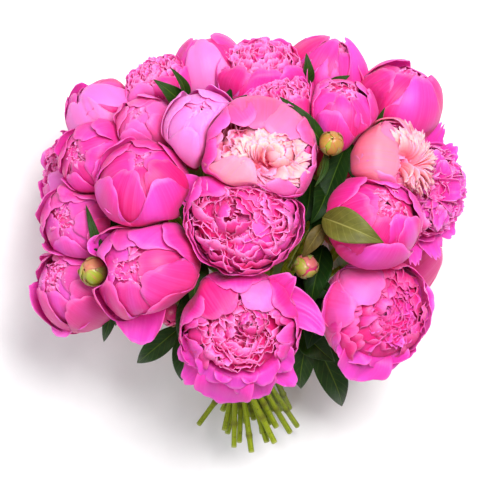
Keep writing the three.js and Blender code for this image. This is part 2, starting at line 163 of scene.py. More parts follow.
class Nodes:
    """Adds nodes to a material, one call each, and links what is given as an input."""

    def __init__(self, name):
        self.material = bpy.data.materials.new(name)
        self.material.use_nodes = True
        self.tree = self.material.node_tree
        self.shader = self.tree.nodes["Principled BSDF"]

    def put(self, socket, value):
        if isinstance(value, bpy.types.NodeSocket):
            self.tree.links.new(value, socket)
        elif socket.type == "RGBA":
            socket.default_value = (*value, 1.0)
        else:
            socket.default_value = value

    def add(self, kind, inputs=(), **settings):
        node = self.tree.nodes.new(kind)
        for key, value in settings.items():
            setattr(node, key, value)
        for key, value in dict(inputs).items():
            self.put(node.inputs[key], value)
        return node

    def attributes(self, *names):
        nodes = [self.add("ShaderNodeAttribute", attribute_name=name) for name in names]
        return [node.outputs["Fac"] for node in nodes]

    def math(self, operation, a, b=0.0):
        return self.add("ShaderNodeMath", {0: a, 1: b}, operation=operation).outputs[0]

    def times(self, a, b):
        return self.math("MULTIPLY", a, b)

    def mix(self, share, a, b):
        node = self.add("ShaderNodeMix", {"Factor": share}, data_type="RGBA")
        self.put(node.inputs[6], a)
        self.put(node.inputs[7], b)
        return node.outputs[2]

    def layers(self, colour, *layers):
        """Mixes further colours over one, each by its share."""
        for share, over in layers:
            colour = self.mix(share, colour, over)
        return colour

    def spread(self, value, low, high, to_low=0.0, to_high=1.0):
        inputs = {0: value, 1: low, 2: high, 3: to_low, 4: to_high}
        return self.add("ShaderNodeMapRange", inputs).outputs[0]

    def noise(self, vector, scale, detail):
        node = self.add("ShaderNodeTexNoise", {"Vector": vector, "Scale": scale, "Detail": detail})
        return node.outputs["Fac"]

    def pattern(self, x, y, seed, scale, detail=2.0):
        """Noise over a petal or leaf, another pattern for every seed."""
        vector = self.add("ShaderNodeCombineXYZ", {0: x, 1: y, 2: seed}).outputs[0]
        return self.noise(vector, scale, detail)

    def bump(self, height, strength, distance):
        inputs = {"Height": height, "Strength": strength, "Distance": distance}
        return self.add("ShaderNodeBump", inputs).outputs[0]

    def finish(self, colour, roughness, normal=None, **fixed):
        """roughness is one number, or the noise that it follows, its least and its most."""
        inputs = self.shader.inputs
        if isinstance(roughness, tuple):
            noise, least, most = roughness
            roughness = self.spread(noise, *NOISE_RANGE, least, most)
        self.put(inputs["Base Color"], colour)
        self.put(inputs["Roughness"], roughness)
        if normal is not None:
            self.put(inputs["Normal"], normal)
        for key, value in fixed.items():
            self.put(inputs[key.replace("_", " ")], value)
        return self.material


def petal_material():
    """Satin petals: magenta on the face, lilac inside, cream where pale; painted shade in hot rose
    towards their feet and sides, and a paler rim with a painted highlight.
    """
    n = Nodes("petal")
    across, along, edge = n.attributes("across", "along", "edge")
    tone, pale, inner, rose = n.attributes("tone", "pale", "inner", "rose")
    seed = n.times(tone, 50.0)
    streaks = n.pattern(n.times(across, 9.0), along, seed, 2.2, 3.0)
    patches = n.pattern(across, along, seed, 1.6, 1.0)
    fine = n.pattern(n.times(across, 34.0), along, tone, 2.0)
    upper = n.spread(along, 0.35, 0.8)
    rosy = n.times(upper, rose)
    # Painted shade: deep rose towards each petal's sides, where they turn from the light.
    side_shade = n.spread(n.math("ABSOLUTE", across), 0.50, 1.0)
    face = n.layers(
        # Painted shade: darker towards the foot, where other petals cover it.
        n.mix(n.spread(along, 0.45, 1.0), PETAL["foot"], PETAL["face"]),
        (n.times(upper, n.spread(patches, 0.44, 0.78)), PETAL["patch"]),
        (rosy, PETAL["rose"]),
        (n.times(n.spread(tone, 0.1, 1.0), 0.38), PETAL["light"]),
        (n.times(n.spread(tone, -0.1, -1.0), 0.65), PETAL["deep"]),
        (n.times(side_shade, 0.62), PETAL["side_shade"]),
    )
    inside = n.mix(n.spread(along, 0.1, 0.9), PETAL["inner foot"], PETAL["inner tip"])
    inside = n.mix(n.times(rosy, 0.8), inside, PETAL["rose"])
    colour = n.layers(
        n.mix(inner, face, inside),
        (pale, n.mix(n.spread(along, 0.35, 0.85), PETAL["cream foot"], PETAL["cream tip"])),
        (n.spread(pale, 0.0, -1.0), PETAL["lilac"]),
        (n.times(n.spread(streaks, 0.42, 0.72), 0.16), PETAL["streak"]),
        # Partly a paler rim, partly a painted highlight along each petal's edge.
        (n.times(edge, 0.60), PETAL["rim"]),
    )
    return n.finish(
        colour,
        (streaks, 0.42, 0.55),
        n.bump(n.math("ADD", n.times(fine, 0.5), streaks), 0.2, PETAL_RELIEF),
        Subsurface_Weight=0.35,
        Subsurface_Radius=(1.0, 0.20, 0.40),
        Subsurface_Scale=0.006,
        Specular_IOR_Level=0.28,
        Sheen_Weight=0.06,
        Sheen_Roughness=0.45,
        Sheen_Tint=(1.0, 0.75, 1.0),
    )


def leaf_material(kind):
    """A leaf with a pale midrib, side veins that run to the rim, and a dull paler back."""
    n = Nodes(kind + "_leaf")
    face, vein, back, gloss = LEAF_COLOURS[kind]
    across, along, inner, tone = n.attributes("across", "along", "inner", "tone")
    out = n.math("ABSOLUTE", across)
    slant = n.math("SUBTRACT", along, n.times(out, 0.22))
    wave = n.math("SINE", n.times(slant, SIDE_VEINS))
    side_veins = n.times(n.spread(wave, 0.86, 1.0), 0.22)
    veins = n.math("MAXIMUM", n.spread(out, 0.02, 0.07, 1.0, 0.0), side_veins)
    blotches = n.pattern(across, n.times(along, 3.0), n.times(tone, 20.0), 1.8, 3.0)
    grain = n.pattern(n.times(across, 8.0), n.times(along, 24.0), tone, 3.0)
    colour = n.layers(
        n.mix(n.spread(blotches, 0.3, 0.75), face, tuple(0.55 * part for part in face)),
        (veins, vein),
        (n.times(inner, 0.8), back),
    )
    normal = n.bump(n.math("SUBTRACT", n.times(grain, 0.4), veins), 0.5, LEAF_RELIEF)
    return n.finish(colour, (blotches, 0.36, 0.5), normal, Specular_IOR_Level=gloss)


def stem_material():
    """Olive stems with fine ribs, brown blotches, brown joints and pale cut ends."""
    n = Nodes("stem")
    along, across, tone, edge, joint = n.attributes("along", "across", "tone", "edge", "pale")
    ribs = n.pattern(n.times(across, 12.0), along, tone, 3.0)
    blotches = n.pattern(n.times(across, 2.0), n.times(along, 14.0), tone, 2.4, 3.0)
    colour = n.layers(
        n.mix(n.spread(ribs, *NOISE_RANGE), STEM_COLOURS["groove"], STEM_COLOURS["rib"]),
        (n.spread(blotches, 0.56, 0.74), STEM_COLOURS["blotch"]),
        (n.times(joint, 0.6), STEM_COLOURS["joint"]),
        (edge, STEM_COLOURS["cut"]),
    )
    normal = n.bump(ribs, 0.4, STEM_RELIEF)
    return n.finish(colour, (ribs, 0.42, 0.55), normal, Specular_IOR_Level=0.2)


def bud_material(name):
    """Bud scales: one colour to another from foot to crown, blushed at the rims, some all over."""
    n = Nodes(name)
    low, high, blush, flushed = BUD_COLOURS[name]
    across, along, tone, edge = n.attributes("across", "along", "tone", "edge")
    mottle = n.pattern(n.times(across, 7.0), along, n.times(tone, 9.0), 1.8, 3.0)
    colour = n.layers(
        n.mix(n.spread(along, 0.1, 0.9), low, high),
        (n.times(n.spread(mottle, 0.54, 0.70), 0.6), blush),
        (n.times(n.spread(tone, 0.0, 0.4), flushed), blush),
        (n.times(edge, 0.8), blush),
    )
    normal = n.bump(mottle, 0.3, BUD_RELIEF)
    return n.finish(colour, (mottle, 0.3, 0.45), normal, Subsurface_Weight=0.1)


def ribbon_material():
    """Satin ribbon with fine ribs across it."""
    n = Nodes("ribbon")
    along, across = n.attributes("along", "across")
    ribs = n.math("SINE", n.times(along, RIBBON_RIBS))
    soft = n.pattern(n.times(across, 3.0), n.times(along, 20.0), 0.0, 2.0)
    colour = n.mix(n.spread(soft, *NOISE_RANGE), *RIBBON_COLOURS)
    normal = n.bump(ribs, 0.25, RIBBON_RELIEF)
    return n.finish(colour, (soft, 0.28, 0.42), normal, Sheen_Weight=0.3)


def table_material():
    n = Nodes("table")
    speckle = n.noise(n.add("ShaderNodeTexCoord").outputs["Object"], 40.0, 3.0)
    colour = n.mix(n.spread(speckle, *NOISE_RANGE), *TABLE_COLOURS)
    return n.finish(colour, 0.6, Specular_IOR_Level=0.2)


# ---- Sheets: thin closed shells from a grid of points ----

RIM_BULGE = 0.45  # of a sheet's rim, as a share of its thickness


def ease(x):
    x = np.clip(x, 0.0, 1.0)
    return x * x * (3.0 - 2.0 * x)


def unit(vectors):
    return vectors / np.linalg.norm(vectors, axis=-1, keepdims=True)


def lengths_along(line):
    """How far along a line each of its points is."""
    steps = np.linalg.norm(np.diff(line, axis=0), axis=1)
    return np.concatenate([[0], np.cumsum(steps)])


def grid_axes(across_cells, along_cells):
    """-1 to 1 down a grid's rows, and 0 to 1 along its columns."""
    across = np.linspace(-1, 1, across_cells + 1)[:, None]
    return across, np.linspace(0, 1, along_cells + 1)[None, :]


def grid_normals(points):
    """Unit normals of a grid of points, across the ways of its first and second axis."""
    normals = np.cross(np.gradient(points, axis=0), np.gradient(points, axis=1))
    return normals / np.maximum(np.linalg.norm(normals, axis=2, keepdims=True), 1e-9)


def quads(*corners):
    """Faces from four grids, one of each corner."""
    return np.stack([corner.ravel() for corner in corners], axis=1)


def close_sheet(points, thick, look):
    """A closed shell round a sheet. thick is a grid; look holds what the material reads."""
    rows, columns = points.shape[:2]
    count = rows * columns
    index = np.arange(count).reshape(rows, columns)
    half = 0.5 * thick[..., None] * grid_normals(points)
    # The rim, once round, moved outwards from the points one step in.
    ring = np.concatenate([index[:-1, 0], index[-1, :-1], index[:0:-1, -1], index[0, :0:-1]])
    inner = points.copy()
    inner[0], inner[-1] = points[1], points[-2]
    inner[:, 0], inner[:, -1] = inner[:, 1], inner[:, -2]
    outward = (points - inner).reshape(-1, 3)[ring]
    outward /= np.maximum(np.linalg.norm(outward, axis=1, keepdims=True), 1e-9)
    rim = points.reshape(-1, 3)[ring] + RIM_BULGE * thick.reshape(-1)[ring][:, None] * outward
    front_faces = quads(index[:-1, :-1], index[1:, :-1], index[1:, 1:], index[:-1, 1:])
    rim_index = 2 * count + np.arange(len(ring))
    next_rim, next_ring = np.roll(rim_index, -1), np.roll(ring, -1)
    faces = [
        front_faces,
        front_faces[:, ::-1] + count,
        quads(next_ring, ring, rim_index, next_rim),
        quads(next_rim, rim_index, ring + count, next_ring + count),
    ]
    values = {}
    for key, value in look.items():
        value = np.broadcast_to(value, (rows, columns)).reshape(-1)
        values[key] = np.concatenate([value, value, value[ring]])
    values["inner"] = np.concatenate([np.zeros(count), np.ones(count), np.full(len(ring), 0.5)])
    points = np.concatenate([(points + half).reshape(-1, 3), (points - half).reshape(-1, 3), rim])
    return points, np.concatenate(faces), values


def build(name, shells, materials, which=None):
    """One smooth mesh object, in metres, from closed shells given in millimetres.

    which gives each shell's material, where there is more than one.
    """
    sizes = [len(shell[0]) for shell in shells]
    starts = np.concatenate([[0], np.cumsum(sizes)[:-1]])
    points = (np.concatenate([shell[0] for shell in shells]) + CENTRE) * MM
    faces = np.concatenate([shell[1] + start for shell, start in zip(shells, starts)])
    mesh = bpy.data.meshes.new(name)
    mesh.vertices.add(len(points))
    mesh.vertices.foreach_set("co", points.ravel())
    mesh.loops.add(faces.size)
    mesh.loops.foreach_set("vertex_index", faces.ravel())
    mesh.polygons.add(len(faces))
    mesh.polygons.foreach_set("loop_start", np.arange(0, faces.size, 4))
    mesh.polygons.foreach_set("use_smooth", np.ones(len(faces), dtype=bool))
    for material in materials:
        mesh.materials.append(material)
    if which is not None:
        slots = np.concatenate([np.full(len(shell[1]), slot) for shell, slot in zip(shells, which)])
        mesh.polygons.foreach_set("material_index", slots)
    for key in shells[0][2]:
        values = np.concatenate([shell[2][key] for shell in shells]).astype(np.float32)
        mesh.attributes.new(key, "FLOAT", "POINT").data.foreach_set("value", values)
    mesh.update(calc_edges=True)
    mesh.validate()
    piece = bpy.data.objects.new(name, mesh)
    bpy.context.collection.objects.link(piece)
    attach(piece, "root")
    return piece


# ---- The flower heads ----

# How far a bloom reaches from its middle, as a share of its radius, every 20 degrees from its mouth
# to its stem: the CAD solids' outer shape.
PROFILE_STEP = math.radians(20)
PROFILES = {
    "globe": (0.90, 0.95, 1.00, 1.00, 1.00, 0.98, 0.95, 0.88, 0.80, 0.76),
    "open": (0.68, 0.72, 0.86, 1.00, 0.98, 0.90, 0.80, 0.70, 0.63, 0.60),
    "bud": (1.05, 1.02, 1.00, 0.98, 0.98, 0.97, 0.94, 0.88, 0.80, 0.76),
}
NEIGHBOUR_REACH = 1.4  # walls further out than this many radii don't count
WALL_GAP = 0.3  # kept between a petal and the wall to the next flower head
WALL_SOFT = 6.0  # petals nearer to a wall than this are pressed back
WALL_WAVE = 3.6  # how far the wall between two heads waves to either side
WALL_WAVELENGTH = 52.0
WALL_SLANT = 0.6  # of the waves
DENT_ROOM = 1.5  # between a bud and the petals round it
DENT_SOFT = 1.5  # how softly petals give way to a bud
DENT_FLARE = 2.5  # how steeply a bud's notch opens below and beside the bud
DENT_FADE = 8.0  # over what height the notch ends
INNER_LEAN = 0.4  # how far a small bloom in another leans out from its axis
PETAL_THICK = 0.8
SMALL_PETAL_THICK = 0.7
SEPAL_THICK = 1.0
TIP_THINNING = 0.45


class Bloom:
    """A flower head: its middle and radius in mm, its facing, and the frame its petals grow in.

    Directions round it are as seen from above: 0 degrees to the right, 90 to the top of the view.
    """

    def __init__(self, name, at, radius, facing, kind, seed):
        self.name = name
        self.kind = kind
        self.at = np.array(at, dtype=float)
        self.radius = float(radius)
        self.facing = unit(np.array(facing, dtype=float))
        right = np.array([1.0, 0.0, 0.0])
        self.right = unit(right - self.facing * right.dot(self.facing))
        self.top = np.cross(self.facing, self.right)
        self.random = np.random.default_rng(seed)
        self.walls = [(np.array([0.0, 0.0, -1.0]), self.at[2], 0.0)]
        self.dents = []
        self.shells = []
        self.sepals = []
        self.pale = self.rose = self.deep = 0.0

    def find_walls(self, blooms):
        """The face to each neighbour: that of the CAD solids, but gently waved."""
        for other in blooms:
            if other is self:
                continue
            between = other.at - self.at
            apart = np.linalg.norm(between)
            middle = (apart**2 + self.radius**2 - other.radius**2) / (2 * apart)
            if middle < NEIGHBOUR_REACH * self.radius:
                wave = WALL_WAVE if self.name < other.name else -WALL_WAVE
                self.walls.append((between / apart, middle, wave))

    def find_dents(self):
        """Where the bloom gives way to buds."""
        for node, (at, radius, *_) in BUDS.items():
            if np.linalg.norm(self.at - at) < self.radius + 2 * radius:
                dent = radius + DENT_ROOM
                top = DENT_TOPS.get(node, DENT_TOP) * dent
                self.dents.append((np.array(at, dtype=float), dent, top))

    def press(self, points, walls):
        """Presses points softly back from the walls and out of the way of buds."""
        for normal, distance, wave in walls:
            beyond = (points - self.at) @ normal - distance + WALL_GAP
            if wave:
                # Worked out on the wall itself, so that both neighbours find the same waves.
                on_wall = (points - beyond[..., None] * normal) * 2 * math.pi / WALL_WAVELENGTH
                crest = np.sin(on_wall[..., 0] + WALL_SLANT * on_wall[..., 2])
                beyond = beyond - wave * crest * np.cos(on_wall[..., 1])
            near = np.maximum(beyond, -WALL_SOFT) + WALL_SOFT
            shift = np.where(near > 0, beyond + WALL_SOFT * np.exp(-near / WALL_SOFT), 0.0)
            points = points - shift[..., None] * normal
        for bud, radius, top in self.dents:
            # A notch, open to the view, in the side of the bloom that the bud stands at.
            way = unit((bud - self.at) * (1.0, 1.0, 0.0))
            from_bud = points - bud
            height = from_bud[..., 2]
            aside = np.abs(from_bud @ np.array([-way[1], way[0], 0.0]))
            below = np.minimum(height, 0)
            hollow = np.sqrt(np.maximum(radius**2 - aside**2 - below**2, 0))
            beside = np.maximum(np.hypot(aside, below) - radius, 0)
            over = from_bud @ way + hollow - DENT_FLARE * beside
            shift = np.maximum(over + DENT_SOFT * np.logaddexp(0, -over / DENT_SOFT), 0)
            shift = shift * ease((top - height) / DENT_FADE) * (height > -radius)
            points = points - shift[..., None] * way
        return points

    def reach(self, polar):
        """The outer shape's reach in mm at an angle from the mouth."""
        profile = PROFILES[self.kind]
        return self.radius * np.interp(polar, PROFILE_STEP * np.arange(len(profile)), profile)

    def grow(self, sheet, thick=PETAL_THICK, pale=0.0, rose=0.0, free=False, to=None):
        """Adds a petal: its sheet is placed, pressed and closed.

        A free one heeds the table and the buds, but no other bloom. to is the list that it goes to
        instead of shells.
        """
        points, look = sheet
        points = self.at + points @ np.stack([self.right, self.top, self.facing])
        points = self.press(points, self.walls[:1] if free else self.walls)
        tone = max(-1.0, self.random.uniform(-1, 1) - self.deep)
        look = {**look, "tone": tone, "pale": pale, "rose": rose}
        thick = thick * (1.0 - TIP_THINNING * look["along"])
        shells = self.shells if to is None else to
        shells.append(close_sheet(points, thick, look))

    def jitter(self, spread):
        return self.random.uniform(-spread, spread)

    def inner_bloom(self, across, up, size, height=0.62):
        """A small bloom inside this one, moved from its axis by shares of its radius."""
        aside = across * self.right + up * self.top
        at = self.at + self.radius * (aside + height * self.facing)
        facing = self.facing + INNER_LEAN * aside
        seed = self.random.integers(1000)
        inner = Bloom(self.name, at, size * self.radius, facing, "globe", seed)
        inner.shells = self.shells
        inner.dents = self.dents
        return inner


# A petal's form, where nothing else is said. Lengths are in mm and angles in radians.
FORM = {
    # The cells of its grid across and along, and its outline: its width at the foot and the tip as
    # shares of its greatest, where along that is, how much shorter its sides are than its middle,
    # how much shorter yet one side is, and the depth and number of the cuts in its top.
    "cells": (18, 18), "claw": 0.35, "blunt": 0.74, "widest": 0.62, "rounding": 0.26, "lean": 0.0,
    "notch": 0.0, "notches": 3,
    # The height and number of the waves at its rim, and where along they begin.
    "ruffle": 0.0, "waves": 2.5, "ruffle_from": 0.45,
    # How far one side stands out and the other in, its turns round its midrib and round the bloom,
    # and how far its tip rolls out.
    "tuck": 0.0, "twist": 0.0, "skew": 0.0, "roll": 0.0,
    # Its broad swells as a share of the bloom's radius, its middle fold, and how much its rim is
    # lightened: a paler rim with a painted highlight.
    "undulation": 0.012, "crease": 0.0, "rim": 1.0,
}
SIDE_ROUNDNESS = 2.4  # the higher, the straighter its top between rounded corners
CUT_SHARPNESS = 0.6
SECOND_WAVES = 1.83  # finer waves in the ruffles, to each of the broad ones
SECOND_HEIGHT = 0.6
MIDDLE_RUFFLE = 0.35  # of the ruffles at the rim, how much the midrib has
SWELLS = (2.1, 4.0)  # across and along
ROLL_FROM = 0.72
CREASE_WIDTH = 0.16
# How wide in mm the lightened rim is, and from how far along it begins: a paler rim with a painted
# highlight.
RIM_WIDTH = 1.3
RIM_FROM = 0.35
# How fast each of these sets in along a petal.
TWIST_ONSET, SWELL_ONSET, CREASE_ONSET, RIM_ONSET = 1.3, 2, 1.6, 2.2
PATH_STEPS = 48
GOLDEN_ANGLE = 2.39996
GOLDEN_SHARE = 0.618
FOOT_POLAR = math.radians(172)  # where outer petals start, from the mouth
SEPAL_FOOT_POLAR = math.radians(176)
SPLAYED_SLOPE = math.radians(35)
FOOT_HANDLE, TIP_HANDLE = 0.42, 0.36  # of a petal's curve, as shares of its length
SPLAYED_HANDLE = 0.42  # at its tip, in radii of the bloom
FOOT_OFF_AXIS = 1.5
SMALL_CUP, SPLAYED_CUP = 0.22, 0.8  # the radii that such petals curve to, in the bloom's
RUFFLE_FOOT = -0.45  # where ruffles start, in radii from the bloom's middle
RUFFLE_LEAN, RUFFLE_LEANING = 0.25, 0.9  # from the axis at their foot, and more for outer ones
RUFFLE_DEPTH = 0.09  # how far short of the others some of their tips stay
RUFFLE_WIDTHS = (0.7, 1.5)
BLOOM_SEED, STEM_SEED, LEAF_SEED, BUD_SEED = 100, 7, 11, 13


def petal_sheet(bloom, path, azimuth, half_width, cup, **form):
    """A petal as a grid of points in the bloom's frame, and what its material reads.

    path runs from the petal's foot to its tip in the plane through the bloom's axis, as radii and
    heights. cup is the radius that the petal curves to from side to side.
    """
    f = {**FORM, **form}
    phase = bloom.random.uniform(0, 2 * math.pi, 6)
    across, along = grid_axes(*f["cells"])
    sideness = np.abs(across)
    # The outline: narrow at the foot, broad above, with a rounded and notched top.
    widest = f["widest"]
    rising = np.sin(0.5 * math.pi * np.minimum(along / widest, 1))
    rising = f["claw"] + (1 - f["claw"]) * rising
    falling = 1 - (1 - f["blunt"]) * (np.maximum(along - widest, 0) / (1 - widest)) ** 2
    width = half_width * rising * falling
    cuts = 1 - np.abs(np.sin(f["notches"] * 0.5 * math.pi * across + phase[0])) ** CUT_SHARPNESS
    drop = f["rounding"] * sideness**SIDE_ROUNDNESS + f["notch"] * cuts + f["lean"] * across
    share = along * (1 - drop * along**3)
    # The midrib's points and outward normals at each share of its length.
    columns = (*path.T, *unit(np.gradient(path, axis=0)).T)
    steps = np.linspace(0, 1, len(path))
    radii, heights, run_r, run_z = (np.interp(share, steps, column) for column in columns)
    none = np.zeros_like(share)
    rib = np.stack([radii, none, heights], axis=-1)
    out = np.stack([run_z, none, -run_r], axis=-1)
    turn = f["twist"] * ease(share * TWIST_ONSET)[..., None]
    level = np.array([0.0, 1.0, 0.0])
    sideways = np.cos(turn) * level + np.sin(turn) * out
    outward = np.cos(turn) * out - np.sin(turn) * level
    # How far it stands off its cup.
    ruffled = ease((share - f["ruffle_from"]) / (1 - f["ruffle_from"]))
    ruffled = ruffled * (MIDDLE_RUFFLE + (1 - MIDDLE_RUFFLE) * sideness)
    turns = f["waves"] * math.pi * across
    waves = np.sin(turns + phase[1])
    waves = waves + SECOND_HEIGHT * np.sin(SECOND_WAVES * turns + 3 * share + phase[2])
    swell = np.sin(SWELLS[0] * across + phase[3]) * np.sin(SWELLS[1] * share + phase[4])
    lift = (
        f["ruffle"] * ruffled * waves
        + f["tuck"] * across
        + f["roll"] * ease((share - ROLL_FROM) / (1 - ROLL_FROM)) ** 2
        + f["undulation"] * bloom.radius * swell * ease(share * SWELL_ONSET)
        - f["crease"] * np.exp(-((across / CREASE_WIDTH) ** 2)) * ease(share * CREASE_ONSET)
    )
    bow = across * width / cup
    lift = lift - cup * (1 - np.cos(bow))
    points = rib + sideways * (cup * np.sin(bow))[..., None] + outward * lift[..., None]
    angle = azimuth + f["skew"] * share**2
    cos, sin = np.cos(angle), np.sin(angle)
    x, y, z = np.moveaxis(points, -1, 0)
    points = np.stack([cos * x - sin * y, sin * x + cos * y, z], axis=-1)
    # The lightened rim: a paler edge with a painted highlight along it.
    to_rim = np.minimum(width * (1 - sideness), (1 - along) * lengths_along(path)[-1])
    edge = f["rim"] * np.exp(-to_rim / RIM_WIDTH) * ease((share - RIM_FROM) * RIM_ONSET)
    return points, {"across": across, "along": share, "edge": edge}


def shell_path(bloom, tip, scale, flare, start=FOOT_POLAR):
    """Up the bloom's outer shape from its foot to an angle from the mouth, flared to the tip."""
    polar = np.linspace(start, tip, PATH_STEPS)
    reach = bloom.reach(polar) * scale * (1 + flare * np.linspace(0, 1, PATH_STEPS) ** 3)
    return np.stack([reach * np.sin(polar), reach * np.cos(polar)], axis=1)


def bend(*corners):
    """A cubic Bezier curve."""
    start, first, second, end = map(np.array, corners)
    t = np.linspace(0, 1, PATH_STEPS)[:, None]
    curve = (1 - t) ** 3 * start + 3 * (1 - t) ** 2 * t * first
    return curve + 3 * (1 - t) * t**2 * second + t**3 * end


def heading(polar):
    """A way in the plane through a bloom's axis, at an angle from the axis."""
    return np.array([math.sin(polar), math.cos(polar)])


def spoke_path(foot, tip_reach, tip_polar, lean, hook):
    """From a foot on the axis out to a tip, first at lean from the axis and last at hook inwards of
    the line out from the middle."""
    start = np.array([FOOT_OFF_AXIS, foot])
    end = tip_reach * heading(tip_polar)
    length = np.linalg.norm(end - start)
    first = start + FOOT_HANDLE * length * heading(lean)
    return bend(start, first, end - TIP_HANDLE * length * heading(tip_polar - hook), end)


def take(form, *keys):
    """Takes out of a form what isn't the sheet's."""
    return {key: form.pop(key) for key in keys if key in form}


def grow_guard(bloom, azimuth, tip, half_angle, scale, flare=0.0, **form):
    """One broad cupped petal on the bloom's outer shape. Angles in degrees."""
    radius = bloom.radius * scale
    look = take(form, "pale", "rose", "free")
    form = {
        "notch": 0.035, "ruffle": 0.018 * radius, "rim": 0.4, "undulation": 0.024,
        "roll": radius * bloom.random.uniform(0.0, 0.05), **form,
    }
    path = shell_path(bloom, math.radians(tip), scale, flare)
    half_width = radius * math.radians(half_angle)
    bloom.grow(petal_sheet(bloom, path, math.radians(azimuth), half_width, radius, **form), **look)


def grow_splayed(bloom, azimuth, reach, height, half_width, droop, belly, waist=0.5, **form):
    """One petal that has opened right out from under the bloom. Lengths as shares of its radius.

    belly is how high and waist how far out it runs before it turns to its tip, and droop is how far
    it hangs, in radians.
    """
    radius = bloom.radius
    look = take(form, "pale", "rose")
    end = np.array([reach, height])
    slope = SPLAYED_SLOPE - droop
    second = end - SPLAYED_HANDLE * np.array([math.cos(slope), math.sin(slope)])
    path = radius * bend((0.06, -0.56), (waist, belly), second, end)
    form = {
        "notch": 0.015, "ruffle": 0.035 * radius, "waves": 1.6, "rim": 0.5, "rounding": 0.20,
        "undulation": 0.03, **form,
    }
    width, cup = half_width * radius, SPLAYED_CUP * radius
    sheet = petal_sheet(bloom, path, math.radians(azimuth), width, cup, **form)
    bloom.grow(sheet, free=True, **look)


def grow_guards(bloom, count, start, tip, half_angle, scale, skip=(0, 0), **form):
    """A ring of broad petals, each with one side under the last and one side over the next.

    skip is a range of directions in degrees that has none.
    """
    for k in range(count):
        azimuth = start + 360 / count * k + bloom.jitter(9)
        if skip[0] < azimuth % 360 < skip[1]:
            continue
        place = (
            tip + bloom.jitter(6),
            half_angle * (1 + bloom.jitter(0.08)),
            scale * (1 + bloom.jitter(0.008)),
        )
        turned = {"skew": bloom.jitter(0.15), "lean": bloom.jitter(0.06)}
        grow_guard(bloom, azimuth, *place, **{"tuck": 0.03 * bloom.radius, **turned, **form})


def grow_ruffles(
    bloom, count, widest, reach, width, rose,
    narrowest=0, towards=(0.0, 0.0), hook=(0.0, 1.7), twist=0.8, pale=-0.01, **form,
):
    """Small crumpled petals whose tips fill a cap of the bloom, spread as seeds are.

    The cap runs from narrowest to widest, in degrees from the mouth, and is moved towards a side.
    hook is how far a petal's tip bends inwards, least and most, in radians.
    """
    radius = bloom.radius
    low, high = math.radians(narrowest), math.radians(widest)
    for k in range(count):
        polar = low + (high - low) * math.sqrt((k + 0.5) / count)
        azimuth = GOLDEN_ANGLE * k + bloom.jitter(0.25)
        x = math.sin(polar) * math.cos(azimuth) + towards[0]
        y = math.sin(polar) * math.sin(azimuth) + towards[1]
        polar = math.asin(math.hypot(x, y))
        tip = reach * bloom.reach(polar) * (1 - bloom.random.uniform(0, RUFFLE_DEPTH))
        bent = bloom.random.uniform(*hook)
        lean = RUFFLE_LEANING * polar + RUFFLE_LEAN
        sheet = petal_sheet(
            bloom,
            spoke_path(RUFFLE_FOOT * radius, tip, polar, lean, bent),
            math.atan2(y, x),
            radius * width * bloom.random.uniform(*RUFFLE_WIDTHS),
            radius * SMALL_CUP * (1 + bloom.jitter(0.3)),
            **{
                "cells": (11, 8), "claw": 0.25, "widest": 0.75, "blunt": 0.85, "rounding": 0.2,
                "notch": 0.06, "notches": 4 + bloom.jitter(1), "ruffle": 0.04 * radius,
                "waves": 2.2, "ruffle_from": 0.5, "twist": bloom.jitter(twist),
                "undulation": 0.02, **form,
            },
        )
        paler = math.copysign(bloom.random.uniform(-0.4, 0.1) ** 2, pale)
        bloom.grow(sheet, thick=SMALL_PETAL_THICK, pale=pale + paler, rose=rose)


def grow_egg(bloom, across, up, size, **form):
    """A few cupped petals folded over one another within a bloom's heart."""
    egg = bloom.inner_bloom(across, up, size)
    start = bloom.random.uniform(0, 360)
    look = {"cells": (12, 12), "ruffle": 0.05 * egg.radius, "notch": 0.08, "rim": 0.8, **form}
    grow_ruffles(egg, 6, 20, 0.92, 0.22, rose=0.8)
    for k in range(3):
        grow_guard(egg, start + 120 * k, 6 + 10 * k, 52, 0.86 + 0.05 * k, **look)
    for k in range(4):
        grow_guard(egg, start + 60 + 90 * k, 28 + 9 * k, 44, 1.0 + 0.05 * k, **look)


def grow_fan(bloom, count, around, reach, width, crown, **form):
    """Tongue-shaped petals that rise from the heart and lie over outwards, in overlapping layers.

    They spread from one direction to another, in degrees, and crown is how high they rise.
    """
    look = take(form, "pale", "rose")
    radius = bloom.radius
    for k in range(count):
        turned = (k * GOLDEN_SHARE) % 1.0
        azimuth = math.radians(around[0] + (around[1] - around[0]) * turned + bloom.jitter(4))
        far = reach * (0.55 + 0.45 * (k + 0.5) / count) * (1 + bloom.jitter(0.08))
        rise = crown * (1.15 - 0.35 * far / reach) + bloom.jitter(0.06)
        end = (far, rise - 0.22 * far + bloom.jitter(0.08))
        path = radius * bend((0.04, 0.0), (0.10, 0.55 * rise), (0.52 * far, 1.05 * rise), end)
        half_width = radius * width * (1 + bloom.jitter(0.2))
        shape = {
            "cells": (10, 12), "claw": 0.3, "widest": 0.7, "blunt": 0.75, "rounding": 0.22,
            "notch": 0.08, "ruffle": 0.015 * radius, "twist": bloom.jitter(0.35),
            "undulation": 0.02, **form,
        }
        sheet = petal_sheet(bloom, path, azimuth, half_width, SMALL_CUP * radius, **shape)
        bloom.grow(sheet, thick=SMALL_PETAL_THICK, **look)


